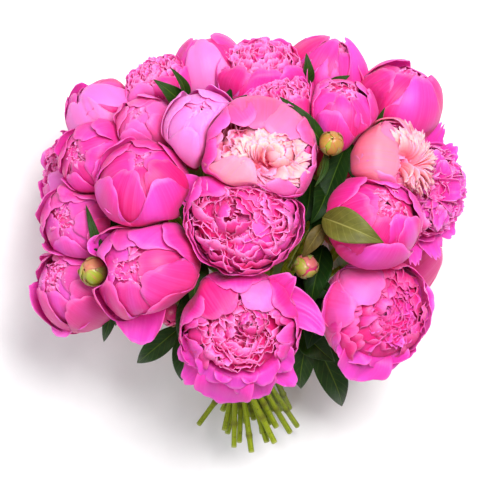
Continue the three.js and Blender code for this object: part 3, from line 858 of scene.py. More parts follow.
# A bloom's own guard petals: azimuth, tip, half angle, scale and, for some, further form.
TALL = {"blunt": 0.45, "rounding": 0.40, "free": True}
ROUND = {"flare": 0.12, "blunt": 0.84, "rounding": 0.30, "free": True, "notch": 0.03}
GUARDS = {
    "bloom_01": [
        (338, 50, 22, 0.91), (15, 50, 24, 0.91), (200, 48, 22, 0.91), (165, 48, 24, 0.91),
        (180, 64, 40, 0.96), (200, 72, 30, 0.985), (150, 46, 40, 0.975),
        (65, 31, 42, 0.97, {"pale": -0.35}), (125, 26, 46, 1.0), (95, 44, 40, 1.0),
        (35, 48, 38, 0.985), (5, 62, 36, 0.97), (346, 68, 26, 1.0),
    ],
    "bloom_02": [
        (140, 44, 24, 0.93), (118, 46, 22, 0.91), (70, 54, 34, 0.95), (105, 52, 34, 0.97),
        (190, 60, 36, 0.93), (202, 66, 38, 0.955), (215, 72, 38, 1.0), (178, 73, 36, 0.985),
        (250, 60, 22, 0.95), (277, 62, 22, 0.97), (310, 64, 24, 0.96), (262, 74, 34, 1.0),
        (295, 75, 34, 0.99), (330, 70, 34, 0.98), (345, 76, 34, 1.0), (20, 66, 34, 0.95),
        (0, 70, 36, 1.0, {"roll": 3.0}), (45, 62, 36, 0.98), (130, 30, 42, 1.0), (155, 50, 36, 1.0),
        (85, 46, 34, 1.0),
    ],
    "bloom_03": [
        (20, 56, 34, 0.96, {"pale": -0.3}), (325, 58, 30, 0.95), (300, 64, 34, 0.975),
        (215, 54, 34, 0.96), (190, 58, 40, 0.985), (355, 64, 38, 1.0, {"pale": -0.3}),
        (135, 27, 50, 0.975, {"pale": -0.25}), (172, 44, 40, 1.0, {"roll": 2.5, "pale": -0.15}),
        (80, 52, 44, 0.99, {"roll": 3.0}), (105, 66, 36, 1.0, {"roll": 3.0}), (45, 60, 36, 1.0),
        (240, 76, 30, 1.0),
    ],
    "bloom_04": [
        (60, 14, 50, 0.9), (180, 18, 52, 0.91), (300, 15, 50, 0.92),
        (95, 20, 48, 0.95, {"roll": 2.5}), (250, 20, 44, 0.94), (322, 24, 42, 0.96),
        (200, 26, 56, 0.98), (20, 28, 46, 0.97), (150, 40, 50, 1.0), (275, 46, 55, 1.0),
        (60, 38, 50, 1.0),
    ],
    "bloom_05": [
        (90, 60, 40, 0.99, {"pale": 0.2}), (270, 66, 44, 0.99), (0, 80, 50, 1.0),
        (45, 74, 40, 0.98), (310, 74, 40, 0.97), (140, 40, 44, 0.97, {"pale": 0.3}),
        (225, 46, 46, 0.98, {"pale": 0.25}),
        (178, 22, 62, 1.0, {"pale": 0.4, "blunt": 0.85, "crease": 1.5}),
        (100, 30, 16, 1.0, {
            "pale": 0.4, "blunt": 0.3, "rounding": 0.5, "flare": 0.12, "free": True,
        }),
    ],
    "bloom_06": [
        (0, 84, 44, 0.97, {"pale": -0.3}), (60, 80, 44, 1.0), (320, 82, 40, 1.0),
        (110, 76, 44, 0.98), (160, 74, 44, 1.0), (210, 74, 44, 0.97), (270, 80, 44, 1.0),
    ],
    "bloom_07": [
        (60, 24, 50, 0.92), (180, 20, 50, 0.94), (120, 30, 50, 1.0), (20, 30, 44, 0.98),
        (235, 10, 46, 0.98, {"flare": 0.08, "blunt": 0.6}),
        (345, 14, 40, 1.0, {"flare": 0.1, "blunt": 0.55}),
        (290, 8, 50, 1.02, {"flare": 0.12, "blunt": 0.6}), (200, 30, 40, 1.0, {"roll": 3.0}),
    ],
    "bloom_08": [
        (90, 16, 56, 0.95), (150, 24, 44, 0.97), (30, 24, 44, 0.97),
        (215, 14, 40, 0.97, {"notch": 0.1}), (325, 15, 40, 0.98, {"notch": 0.1}),
        (270, 12, 44, 1.0, {"notch": 0.12}), (180, 34, 46, 1.0), (0, 34, 46, 1.0),
        (250, 44, 44, 1.02),
    ],
    "bloom_09": [
        (270, 30, 46, 0.97), (215, 40, 44, 1.0, {"roll": 2.0}), (320, 40, 40, 0.98),
        (160, 52, 40, 0.98), (10, 56, 44, 1.0), (60, 66, 44, 1.0), (115, 62, 44, 0.98),
        (250, 50, 44, 1.0),
    ],
    "bloom_10": [
        (230, 24, 42, 1.0, {
            "pale": 0.45, "blunt": 0.8, "rounding": 0.36, "notch": 0.01, "roll": 1.0, "flare": 0.06,
        }),
        (292, 42, 44, 0.97, {"pale": 0.15, "rounding": 0.4, "notch": 0.01, "roll": 2.5}),
        (262, 56, 36, 0.955, {"pale": 0.3, "rounding": 0.4}), (325, 54, 36, 0.98, {"pale": 0.1}),
        (352, 58, 36, 0.96, {"pale": 0.15, "notch": 0.02}),
        (20, 44, 34, 0.97, {"pale": 0.1, "rounding": 0.4}),
        (48, 18, 46, 0.98, {"pale": 0.25, "notch": 0.01, "rounding": 0.34}),
        (84, 22, 42, 1.0, {"pale": 0.15, "notch": 0.01, "rounding": 0.36, "skew": 0.2}),
        (118, 30, 36, 0.98, {"pale": 0.1, "notch": 0.01, "rounding": 0.4}),
        (150, 44, 36, 0.99, {"pale": 0.05, "roll": 2.5, "notch": 0.02}),
        (182, 50, 38, 1.0, {"notch": 0.02}), (214, 58, 40, 1.0),
        (166, 48, 34, 0.93, {"pale": 0.3, "rounding": 0.4}), (198, 48, 34, 0.92, {"pale": 0.4}),
        (262, 60, 44, 1.0, {"roll": 2.0}), (300, 64, 40, 1.0, {"roll": 2.0}),
    ],
    "bloom_12": [
        (230, 40, 44, 0.98), (320, 44, 40, 0.98), (275, 36, 46, 1.0), (180, 56, 40, 1.0),
        (0, 60, 40, 1.0), (60, 70, 44, 1.0), (120, 70, 44, 0.98),
    ],
    "bloom_13": [
        (60, 14, 50, 0.92), (120, 16, 50, 0.92), (180, 12, 44, 0.96, {**ROUND, "flare": 0.14}),
        (0, 12, 44, 0.97, {**ROUND, "flare": 0.14}), (318, 10, 36, 0.98, ROUND),
        (222, 8, 38, 0.99, ROUND), (268, 14, 40, 1.01, {**ROUND, "flare": 0.16, "pale": -0.5}),
    ],
    "bloom_14": [
        (200, 50, 40, 0.98), (300, 44, 40, 0.98), (250, 36, 44, 1.0, {"pale": -0.3}),
        (150, 66, 40, 1.0), (30, 66, 44, 1.0), (90, 72, 44, 0.98), (340, 60, 40, 1.0),
    ],
    "bloom_15": [
        (60, 14, 50, 0.92), (150, 14, 50, 0.94), (0, 16, 44, 0.95), (205, 10, 46, 0.96, ROUND),
        (308, 10, 48, 0.98, {**ROUND, "pale": -0.4}),
        (252, 16, 52, 1.01, {**ROUND, "notch": 0.09, "notches": 1.5, "pale": -0.5}),
        (128, 22, 34, 1.0, ROUND), (172, 26, 36, 0.99, ROUND), (285, 44, 46, 1.02),
    ],
    "bloom_19": [
        (318, 14, 46, 0.975, {"pale": -0.2}), (282, 8, 50, 1.0, {"pale": -0.3, "flare": 0.05}),
        (0, 34, 48, 0.985), (36, 46, 42, 1.0), (245, 30, 44, 0.985), (90, 60, 40, 1.0),
        (200, 56, 44, 1.0), (145, 66, 44, 0.98), (340, 60, 50, 1.01),
    ],
    "back_flower_1": [
        (60, 16, 50, 0.92), (150, 16, 50, 0.94), (200, 12, 44, 0.97, {**TALL, "flare": 0.1}),
        (250, 8, 40, 0.99, {**TALL, "flare": 0.12}),
        (320, 8, 32, 1.0, {**TALL, "flare": 0.18, "blunt": 0.5}), (285, 26, 50, 1.02),
    ],
}

# Petals that have opened right out: azimuth, reach, height, half width, droop, belly and, for some,
# further form.
WAIST = {"waist": 0.95}
SPLAYED = {
    "bloom_01": [
        (236, 0.98, 0.3, 0.34, 0.9, 0.5, WAIST), (266, 0.96, 0.32, 0.36, 0.9, 0.5, WAIST),
        (298, 0.98, 0.3, 0.34, 0.9, 0.5, WAIST), (322, 1.06, 0.16, 0.3, 0.9, 0.5, WAIST),
        (206, 1.08, 0.12, 0.3, 0.8, 0.4, WAIST),
        (286, 1.19, -0.02, 0.36, 1.0, 0.7, {**WAIST, "ruffle": 3.0}),
        (255, 1.27, -0.05, 0.5, 1.0, 0.7, {**WAIST, "crease": 1.5}),
        (225, 1.28, -0.1, 0.27, 0.9, 0.3, {"twist": -0.3}),
        (313, 1.3, -0.12, 0.26, 0.9, 0.1, {"twist": 0.4}),
        (42, 1.36, 0.2, 0.38, 0.6, 0.0, {
            "skew": -0.75, "crease": 4.0, "twist": 0.3, "rose": 0.2, "ruffle": 3.0, "blunt": 0.92,
            "widest": 0.75,
        }),
        (46, 1.22, 0.42, 0.28, 0.1, -0.2, {"crease": 2.0, "rose": 0.3}),
    ],
    "bloom_02": [(153, 1.38, 0.25, 0.28, 0.2, -0.5)],
    "bloom_03": [
        (228, 1.04, 0.2, 0.4, 0.8, 0.5, WAIST), (282, 1.04, 0.16, 0.4, 0.8, 0.5, WAIST),
        (252, 1.22, 0.0, 0.52, 0.8, 0.6, {**WAIST, "crease": 1.5}),
        (168, 1.1, 0.35, 0.6, -0.2, -0.6), (92, 1.08, 0.3, 0.5, -0.2, -0.6),
        (12, 1.06, 0.3, 0.6, -0.1, -0.6),
    ],
    "bloom_06": [
        (262, 1.5, 0.1, 0.3, 0.3, -0.4, {"notch": 0.12, "notches": 5}),
        (286, 1.42, 0.1, 0.32, 0.3, -0.4, {"notch": 0.12, "notches": 5}),
        (312, 1.22, 0.05, 0.34, 0.3, -0.4, {"notch": 0.06}),
        (340, 1.12, 0.05, 0.4, 0.3, -0.4, {"pale": -0.4}),
        (100, 1.4, 0.3, 0.32, 0.0, -0.5, {"notch": 0.12, "notches": 5}),
        (76, 1.34, 0.3, 0.32, 0.0, -0.5, {"notch": 0.12, "notches": 5}),
        (48, 1.16, 0.2, 0.34, 0.2, -0.4, {"notch": 0.08}),
        (12, 1.12, 0.1, 0.44, 0.2, -0.4, {"pale": -0.4}),
    ],
    "bloom_07": [(160, 1.22, 0.45, 0.28, -0.2, -0.5)],
    "bloom_18": [(226, 1.05, 0.2, 0.3, 0.0, -0.5)],
    "bloom_19": [
        (300, 1.15, 0.3, 0.55, 0.2, -0.4), (196, 1.1, 0.3, 0.5, 0.1, -0.4, {"pale": -0.5}),
        (150, 1.06, 0.45, 0.42, 0.0, -0.4, {"pale": -0.4}),
        (238, 1.12, 0.25, 0.44, 0.2, -0.4, {"pale": -0.4}),
    ],
    "bloom_20": [(188, 1.08, 0.2, 0.42, 0.2, -0.4)],
    "bloom_21": [
        (240, 1.16, 0.1, 0.52, 0.3, -0.4, {"pale": -0.3}), (282, 1.06, 0.15, 0.42, 0.3, -0.4),
        (172, 1.04, 0.25, 0.36, 0.1, -0.4),
    ],
    "bloom_22": [
        (260, 1.3, -0.1, 0.5, 0.7, -0.1), (150, 1.08, 0.5, 0.38, -0.3, -0.5),
        (222, 1.06, 0.1, 0.36, 0.0, -0.5),
    ],
}

# How far a closed bloom's mouth is open, in degrees, where it isn't middling.
MIDDLING_MOUTH = 12
MOUTHS = {
    "bloom_08": 20, "bloom_11": 6, "bloom_13": 8, "bloom_15": 8, "bloom_16": 2, "bloom_17": 10,
    "bloom_18": 3, "bloom_20": 9,
}
# Shares of the warm rose, of cream (above 0) or lilac (below), and of petals of the deep tone.
ROSE = {"bloom_16": 0.4, "bloom_17": 0.1, "bloom_18": 0.1}
PALE = {
    "bloom_07": -0.15, "bloom_08": -0.3, "bloom_11": -0.6, "bloom_13": -0.35, "bloom_15": -0.3,
    "bloom_16": -0.2, "bloom_20": -0.1, "bloom_21": -0.12, "bloom_22": -0.05,
}
DEEP = {"bloom_03": 0.9, "bloom_04": 0.2, "bloom_17": 0.2, "bloom_18": 0.1, "bloom_20": 0.2}
# Where a bloom is flattened beside a bud: the way to it, and how far out.
FLATTENED = {"bloom_22": ((0.43, -0.90, 0.0), 33.0)}
# How far over a bud's middle the petals beside it give way, in radii of their notch.
DENT_TOP = 1.9
DENT_TOPS = {"bud_2": 3.2}


def grow_globe(bloom, mouth):
    """A round head that is still closed but for a small mouth."""
    start = bloom.random.uniform(0, 360)
    grow_ruffles(bloom, 16 + mouth, mouth + 8, 0.98, 0.14, pale=bloom.pale, rose=0.6)
    if bloom.name in GUARDS:
        return
    look = {"pale": bloom.pale, "rose": bloom.rose}
    grow_guards(bloom, 3, start, mouth - 2, 58, 0.86, **look)
    grow_guards(bloom, 4, start + 40, mouth + 5, 50, 0.91, **look)
    grow_guards(bloom, 4, start + 10, mouth + 15, 46, 0.955, flare=0.03, **look)
    look.update(flare=0.09, rounding=0.34, crease=0.6)
    grow_guards(bloom, 4, start + 80, mouth + 32, 46, 1.0, **look)


def grow_open(bloom, mouth=56, ruffles=80, reach=0.97, width=0.23, skip=(0, 0), **form):
    """A full head, open, with a ball of crumpled petals in a bowl of broad ones."""
    radius = bloom.radius
    start = bloom.random.uniform(0, 360)
    grow_ruffles(bloom, ruffles, mouth, reach, width, **{"rose": 0.6, **form})
    caps = {
        **form, "hook": (1.1, 2.0), "notch": 0.09, "notches": 2.5, "waves": 1.6,
        "ruffle": 0.03 * radius, "rose": 0.45,
    }
    grow_ruffles(bloom, ruffles // 7, 0.85 * mouth, 1.01 * reach, 1.5 * width, **caps)
    pale = max(0.0, 0.5 * form.get("pale", 0.0))
    grow_guards(bloom, 5, start, 2, 50, 0.70 * reach, rose=0.3, pale=pale)
    collar = {
        "ruffle": 0.035 * radius, "notch": 0.05, "rose": 0.4, "cells": (14, 12), "blunt": 0.88,
        "skip": skip,
    }
    grow_guards(bloom, 9, start, mouth + 1, 24, 0.86, **collar)
    grow_guards(bloom, 9, start + 20, mouth + 3, 24, 0.90, **collar)
    if bloom.name in GUARDS:
        return
    grow_guards(bloom, 8, start, mouth + 2, 25, 0.93, ruffle=0.03 * radius, notch=0.08)
    grow_guards(bloom, 5, start + 20, mouth + 4, 44, 0.965)
    grow_guards(bloom, 5, start + 50, mouth + 14, 46, 1.0, flare=0.04)


def grow_heart(bloom):
    """What fills the bloom inside its guard petals."""
    name = bloom.name
    if name == "bloom_01":
        grow_open(bloom, 43, 100, 0.99, towards=(0.0, -0.03), width=0.22, skip=(212, 322))
        grow_egg(bloom, 0.20, 0.14, 0.20, rose=0.5)
    elif name == "bloom_02":
        grow_open(bloom, 58, 96, 1.02, 0.27, narrowest=12, twist=1.3, rose=0.4, pale=-0.1)
        grow_guards(bloom, 5, 0, 6, 48, 0.80, rose=0.4)
        grow_egg(bloom, -0.14, -0.06, 0.30, rose=0.4)
    elif name == "bloom_03":
        look = {"rose": 0.0, "twist": 1.0, "rim": 0.3}
        grow_open(bloom, 40, 76, 0.98, 0.24, towards=(0.12, -0.06), skip=(215, 300), **look)
        grow_guards(bloom, 5, 0, 6, 46, 0.80, rose=0.2)
    elif name == "bloom_05":
        grow_open(bloom, 60, 60, 0.88, rose=0.4, pale=0.35)
        look = {"pale": 0.9, "twist": 0.9, "ruffle": 2.0, "notch": 0.14}
        grow_fan(bloom, 46, (-110, 130), 0.9, 0.17, crown=0.95, **look)
    elif name == "bloom_06":
        grow_open(bloom, 72, 110, 0.98, rose=0.3, pale=-0.1, notch=0.12, hook=(0.4, 1.5))
        look = {"notch": 0.10, "notches": 5, "ruffle": 2.4, "rose": 0.2}
        grow_fan(bloom, 20, (0, 360), 0.90, 0.26, crown=0.76, **look)
    elif name == "bloom_10":
        grow_open(bloom, 56, 50, 0.84, rose=0.3, pale=0.5)
        grow_ruffles(bloom, 44, 68, 0.93, 0.16, narrowest=46, rose=0.3, pale=0.45)
        heart = bloom.inner_bloom(0.05, -0.22, 0.98, 0.05)
        grow_fan(heart, 26, (40, 150), 0.60, 0.16, crown=0.88, pale=0.95)
        grow_fan(heart, 18, (136, 198), 0.72, 0.15, crown=0.72, pale=0.9)
        grow_fan(heart, 20, (-35, 50), 0.84, 0.15, crown=0.68, pale=0.85)
        grow_fan(heart, 16, (-110, -30), 0.46, 0.17, crown=0.60, pale=0.5)
        grow_egg(bloom, 0.28, -0.08, 0.27, pale=0.75)
    elif bloom.kind == "globe":
        grow_globe(bloom, MOUTHS.get(name, MIDDLING_MOUTH))
        grow_guards(bloom, 4, 45, 2, 50, 0.82, rose=0.7)
    else:
        grow_open(bloom)


# The flower heads as the CAD has them: node, middle, radius, facing and kind.
FLOWERS = [
    ("bloom_01", (-13, -71, 216), 56, (0.0, -0.12, 1), "open"),
    ("bloom_02", (-9, 26, 243), 54, (-0.05, 0.12, 1), "open"),
    ("bloom_03", (106, -58, 181), 53, (0.42, -0.05, 0.9), "open"),
    ("bloom_04", (105, 23, 224), 45, (0.42, 0.38, 0.82), "globe"),
    ("bloom_05", (118, 71, 205), 43, (0.7, 0.15, 0.7), "open"),
    ("bloom_06", (150, 52, 160), 47, (0.6, 0.0, 0.8), "open"),
    ("bloom_07", (130, 129, 158), 40, (0.4, 0.7, 0.6), "globe"),
    ("bloom_08", (75, 116, 205), 36, (0.15, 0.75, 0.65), "globe"),
    ("bloom_09", (24, 121, 203), 38, (-0.1, 0.7, 0.7), "open"),
    ("bloom_10", (4, 80, 245), 54, (0.08, 0.22, 0.95), "open"),
    ("bloom_11", (-45, 103, 232), 36, (-0.05, 0.62, 0.78), "globe"),
    ("bloom_12", (7, 151, 165), 46, (0.0, 0.75, 0.65), "open"),
    ("bloom_13", (-40, 158, 146), 35, (-0.2, 0.88, 0.42), "globe"),
    ("bloom_14", (-85, 143, 160), 36, (-0.45, 0.7, 0.55), "open"),
    ("bloom_15", (-134, 119, 150), 36, (-0.6, 0.65, 0.45), "globe"),
    ("bloom_16", (-96, 105, 196), 30, (-0.35, 0.55, 0.75), "globe"),
    ("bloom_17", (-138, 77, 182), 38, (-0.66, 0.15, 0.73), "globe"),
    ("bloom_18", (-98, 53, 226), 43, (-0.1, 0.62, 0.78), "globe"),
    ("bloom_19", (-158, 68, 138), 42, (-0.8, 0.15, 0.55), "open"),
    ("bloom_20", (-153, 22, 174), 40, (-0.5, 0.08, 0.85), "globe"),
    ("bloom_21", (-156, -36, 160), 43, (-0.62, 0.3, 0.72), "globe"),
    ("bloom_22", (-94, -22, 222), 50, (-0.4, 0.1, 0.9), "globe"),
    ("back_flower_1", (64, 155, 140), 40, (0.3, 0.85, 0.4), "globe"),
    ("back_flower_2", (-84, 90, 48), 54, (-84, 150, -52), "globe"),
    ("back_flower_3", (84, 86, 48), 54, (84, 146, -52), "globe"),
    ("back_flower_4", (-118, 2, 60), 54, (-118, 62, -40), "globe"),
    ("back_flower_5", (118, -2, 60), 54, (118, 58, -40), "globe"),
    ("back_flower_6", (4, 4, 42), 46, (0.05, 0.45, -0.85), "globe"),
    ("back_flower_7", (-4, 124, 48), 52, (0, 0.92, -0.2), "globe"),
]


def grow_sepals(bloom, count=5, tip=128, half_angle=16, scale=1.03):
    """The green sepals round the foot of a bloom."""
    start = bloom.random.uniform(0, 360)
    radius = bloom.radius * scale
    for k in range(count):
        end = math.radians(tip + bloom.jitter(12))
        azimuth = math.radians(start + 360 / count * k + bloom.jitter(10))
        half_width = radius * math.radians(half_angle + bloom.jitter(3))
        path = shell_path(bloom, end, scale, 0.05, start=SEPAL_FOOT_POLAR)
        shape = {"cells": (8, 10), "claw": 0.5, "widest": 0.45, "blunt": 0.5, "rounding": 0.3}
        sheet = petal_sheet(bloom, path, azimuth, half_width, radius, **shape)
        bloom.grow(sheet, thick=SEPAL_THICK, to=bloom.sepals)


def split_form(row):
    """A table row's numbers, and its further form where it has one."""
    return (row[:-1], row[-1]) if isinstance(row[-1], dict) else (row, {})


def make_blooms(petal, sepal):
    blooms = [Bloom(*row, seed=BLOOM_SEED + k) for k, row in enumerate(FLOWERS)]
    for bloom in blooms:
        bloom.find_walls(blooms)
        if bloom.name in FLATTENED:
            way, distance = FLATTENED[bloom.name]
            bloom.walls.append((np.array(way), distance, WALL_WAVE))
        bloom.find_dents()
        bloom.pale = PALE.get(bloom.name, 0.0)
        bloom.rose = ROSE.get(bloom.name, 0.0)
        bloom.deep = DEEP.get(bloom.name, 0.0)
    for bloom in blooms:
        grow_heart(bloom)
        for (azimuth, *place), form in map(split_form, GUARDS.get(bloom.name, ())):
            grow_guard(bloom, azimuth + bloom.jitter(3), *place, **form)
        for place, form in map(split_form, SPLAYED.get(bloom.name, ())):
            grow_splayed(bloom, *place, **form)
        piece = build(bloom.name + "_petals", bloom.shells, [petal])
        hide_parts(bloom.name)
        grow_sepals(bloom)
        piece = build(bloom.name + "_sepals", bloom.sepals, [sepal])
    return blooms


# ---- Stems, leaves, buds and tie ----

TUBE_SIDES = 14
TUBE_END = 0.3  # how far the narrower end faces stand past a tube's line
TUBE_END_SHARES = np.array([0.88, 0.8])  # of those faces' radii, to the tube's
TUBE_PATTERN = 100.0  # the length of tube over which along goes from 0 to 1
STEM_RADIUS = 2.7
STALK_RADIUS = 1.4
STALK_TAPER = (1.25, 0.8)  # of its radius, at its foot and its end
STEM_END = 0.62  # how far from its bloom's middle a stem goes in, in radii
RING_CORNERS = 6  # of one ring of a CAD stem
RING_REACH = 4.2  # corners of one ring are nearer together than this
LINE_STEP = 2.0
NODE_SPACING = 46.0  # of the swollen brown joints along a stem
NODE_LENGTH = 2.6
NODE_SWELLING = 0.22
CUT_LENGTH = 0.2  # of the cut end's rim that shows the pale inside
CUT_FADE = 0.6
LEAF_CELLS = (14, 24)
LEAF_THICK = 0.8
LEAF_FOLD = 0.22  # how steeply a leaf's halves rise from its midrib
LEAF_WAVE = 0.05  # of its rim, as a share of its width
LEAF_BELLY = 0.78  # under 1, it is widest nearer to its base
LEAF_FULLNESS = 0.9  # under 1, it is broader towards both its ends
LEAF_LEAST = 0.03  # its least width, as a share of its greatest
LEAF_RIM = 0.8
MIDRIB_DEPTH = 0.8
MIDRIB_WIDTH = 1.1
DROOP = 0.10  # of its tip, as a share of its length
DROOP_FROM = 0.6
TIE_MIDDLE = np.array([0.0, -110.0, 74.0])
TIE_AXIS = np.array([0.0, math.cos(math.radians(34)), math.sin(math.radians(34))])
TIE_WIDTH = 15.0
WAIST_RADIUS = 22.3  # of the bundle of stems, where they cross
WAIST_SPREAD = 30.0  # how far along the stems the bundle is 1.4 times as wide
RIBBON_WIDTH = 8.0
RIBBON_THICK = 0.45
RIBBON_TURNS = 3
RIBBON_CELLS = 8  # across it
TAILS = ((-1, 10.0, 1.5), (1, 13.0, 2.5))  # the side of the knot, the length and the rise of each


def smooth_line(points):
    """A smooth curve through points."""
    points = np.array(points, dtype=float)
    padded = [2 * points[0] - points[1], *points, 2 * points[-1] - points[-2]]
    stretches = []
    for a, b, c, d in zip(padded, padded[1:], padded[2:], padded[3:]):
        count = max(2, round(np.linalg.norm(c - b) / LINE_STEP))
        t = np.linspace(0, 1, count, endpoint=False)[:, None]
        bent = (2 * a - 5 * b + 4 * c - d) * t**2 + (3 * b - a - 3 * c + d) * t**3
        stretches.append(0.5 * (2 * b + (c - a) * t + bent))
    return np.concatenate(stretches + [points[-1:]])


def stem_middles(node):
    """The middles of a CAD stem's rings, from its cut end up."""
    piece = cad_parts[node]
    corners = np.array([vertex.co[:] for vertex in piece.data.vertices]) / MM - CENTRE
    corners = np.unique(np.round(corners, 2), axis=0)
    near = np.linalg.norm(corners[:, None] - corners[None, :], axis=2) < RING_REACH
    middles = []
    left = set(range(len(corners)))
    while left:
        group = {left.pop()}
        while True:
            more = {k for k in left if near[k, list(group)].any()}
            if not more:
                break
            group |= more
            left -= more
        ring = corners[list(group)]
        if len(ring) == RING_CORNERS and np.ptp(ring, axis=0).max() < 3 * STEM_RADIUS:
            middles.append(ring.mean(axis=0))
    middles = np.array(middles)
    order = [int(middles[:, 1].argmin())]
    while len(order) < len(middles):
        away = np.linalg.norm(middles - middles[order[-1]], axis=1)
        away[order] = np.inf
        order.append(int(away.argmin()))
    return middles[order]


def tube_shell(line, radius, tone=0.0, cut=0.0, brown=0.0):
    """A closed round tube along a line.

    cut is the length at its start that shows its pale inside, and brown how brown it is.
    """
    way = unit(np.gradient(line, axis=0))
    radius, brown = (np.broadcast_to(value, len(line)) for value in (radius, brown))
    line = np.concatenate([[line[0] - TUBE_END * way[0]], line, [line[-1] + TUBE_END * way[-1]]])
    way, radius, brown = (
        np.concatenate([values[:1], values, values[-1:]]) for values in (way, radius, brown)
    )
    radius[[0, -1]] *= TUBE_END_SHARES
    side = np.cross(way[0], [0.3, 0.2, 1.0])
    sides = []
    for direction in way:
        side = unit(side - direction * side.dot(direction))
        sides.append(side)
    sides, ups = np.array(sides)[:, None], np.cross(way, sides)[:, None]
    angle = np.linspace(0, 2 * math.pi, TUBE_SIDES, endpoint=False)[:, None]
    points = line[:, None] + radius[:, None, None] * (np.cos(angle) * sides + np.sin(angle) * ups)
    index = np.arange(len(line) * TUBE_SIDES).reshape(-1, TUBE_SIDES)
    following = np.roll(index, -1, axis=1)
    faces = [quads(index[:-1], following[:-1], following[1:], index[1:])]
    first, last = index[0], index[-1]
    for k in range(TUBE_SIDES // 2 - 1):
        faces.append([[first[k], first[-k - 1], first[-k - 2], first[k + 1]]])
        faces.append([[last[k + 1], last[-k - 2], last[-k - 1], last[k]]])
    length = lengths_along(line)[:, None]
    bare = np.exp(-np.maximum(length - cut, 0) / CUT_FADE) if cut else 0.0
    values = {
        "across": np.sin(angle).T, "along": length / TUBE_PATTERN, "edge": bare, "tone": tone,
        "pale": brown[:, None], "inner": 0.0,
    }
    values = {key: np.broadcast_to(value, index.shape).ravel() for key, value in values.items()}
    return points.reshape(-1, 3), np.concatenate(faces), values


def make_stems(blooms, stem):
    """Each stem along its CAD path, with its joints swollen and brown."""
    lines = []
    random = np.random.default_rng(STEM_SEED)
    for bloom in blooms:
        node = bloom.name.replace("bloom", "stem")
        middles = stem_middles(node)
        foot = bloom.at - STEM_END * bloom.radius * bloom.facing
        below = (middles - foot) @ (middles[-1] - middles[-2]) < 0
        line = smooth_line([*middles[below], foot, foot + 6 * bloom.facing])
        lines.append(line)
        half = NODE_SPACING / 2
        first = random.uniform(8, NODE_SPACING)
        to_joint = (lengths_along(line) - first + half) % NODE_SPACING - half
        swelling = np.exp(-((to_joint / NODE_LENGTH) ** 2))
        radius = STEM_RADIUS * (random.uniform(0.92, 1.05) + NODE_SWELLING * swelling)
        shell = tube_shell(line, radius, random.uniform(-1, 1), CUT_LENGTH, swelling)
        piece = build(node + "_stalk", [shell], [stem])
        if node != bloom.name:
            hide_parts(node)
    return lines


def leaf_shell(base, tip, up, width, arch, tone):
    """A leaf from its base to its pointed tip. up is the way its face looks."""
    base, tip, up = (np.array(value, dtype=float) for value in (base, tip, up))
    length = np.linalg.norm(tip - base)
    way = (tip - base) / length
    up = unit(up - way * up.dot(way))
    across, along = grid_axes(*LEAF_CELLS)
    outline = np.sin(math.pi * along**LEAF_BELLY) ** LEAF_FULLNESS
    half = 0.5 * width * np.maximum(outline, LEAF_LEAST)
    out = across * half
    wave = LEAF_WAVE * width * np.sin(9 * along + 4 * tone) * np.sin(math.pi * along)
    rise = (
        arch * 4 * along * (1 - along)
        + LEAF_FOLD * np.abs(out)
        + wave * across**2
        - MIDRIB_DEPTH * np.exp(-((out / MIDRIB_WIDTH) ** 2)) * (1 - along)
        - DROOP * length * (np.maximum(along - DROOP_FROM, 0) / (1 - DROOP_FROM)) ** 2
    )
    points = base + (along * length)[..., None] * way
    points = points + out[..., None] * np.cross(way, up) + rise[..., None] * up
    edge = np.exp(-half * (1 - np.abs(across)) / LEAF_RIM)
    look = {"across": across, "along": along, "edge": edge, "tone": tone, "pale": 0.0}
    return close_sheet(points, np.full(out.shape, LEAF_THICK), look)


def leafy_stalk(stalk, leaflets, lines, random):
    """Shells of a stalk from the stem nearest to its first point, and of its leaflets.

    Also gives which material each has: 0 for a leaf, 1 for the stalk.
    """
    start = np.array(stalk[0], dtype=float)
    nearest = [line[np.linalg.norm(line - start, axis=1).argmin()] for line in lines]
    foot = min(nearest, key=lambda place: np.linalg.norm(place - start))
    line = smooth_line([foot, *stalk])
    shells = [tube_shell(line, STALK_RADIUS * np.linspace(*STALK_TAPER, len(line)))]
    shells += [leaf_shell(*leaflet, random.uniform(-1, 1)) for leaflet in leaflets]
    return shells, [1] + [0] * len(leaflets)


# A compound leaf: its kind, its stalk's points, and its leaflets as base, tip, up, width and arch.
# The deep kind is painted shade.
LEAVES = {
    "leaf_middle": (
        "deep", [(52, 22, 170), (60, 44, 200), (66, 60, 222)],
        [
            ((66, 58, 220), (52, 22, 244), (0.2, -0.2, 1), 24, 6),
            ((62, 46, 203), (70, 8, 250), (-0.5, -0.3, 1), 26, 8),
            ((58, 38, 192), (50, 0, 236), (0.1, -0.4, 1), 24, 6),
        ],
    ),
    "leaf_lower_right": (
        "plain", [(24, -66, 112), (42, -76, 120), (56, -84, 126)],
        [
            ((54, -82, 126), (84, -150, 92), (0.1, 0.1, 1), 27, 10),
            ((44, -76, 124), (72, -104, 140), (-0.2, 0, 1), 26, 6),
            ((50, -80, 126), (42, -132, 108), (-0.2, 0, 1), 22, 8),
        ],
    ),
    "leaf_lower_left": (
        "plain", [(-24, -66, 118), (-48, -66, 128), (-66, -72, 132)],
        [
            ((-64, -71, 131), (-66, -125, 108), (0.1, 0.1, 1), 22, 9),
            ((-66, -72, 132), (-109, -108, 112), (0, 0, 1), 20, 9),
            ((-54, -68, 129), (-52, -106, 122), (0, 0, 1), 22, 6),
        ],
    ),
    "leaf_upper_left": (
        "plain", [(-52, 100, 170), (-58, 118, 188), (-60, 126, 198)],
        [
            ((-58, 122, 194), (-86, 147, 226), (-0.2, 0.3, 1), 17, 5),
            ((-60, 126, 198), (-70, 157, 236), (0.9, -0.4, 0.4), 11, 4),
        ],
    ),
}
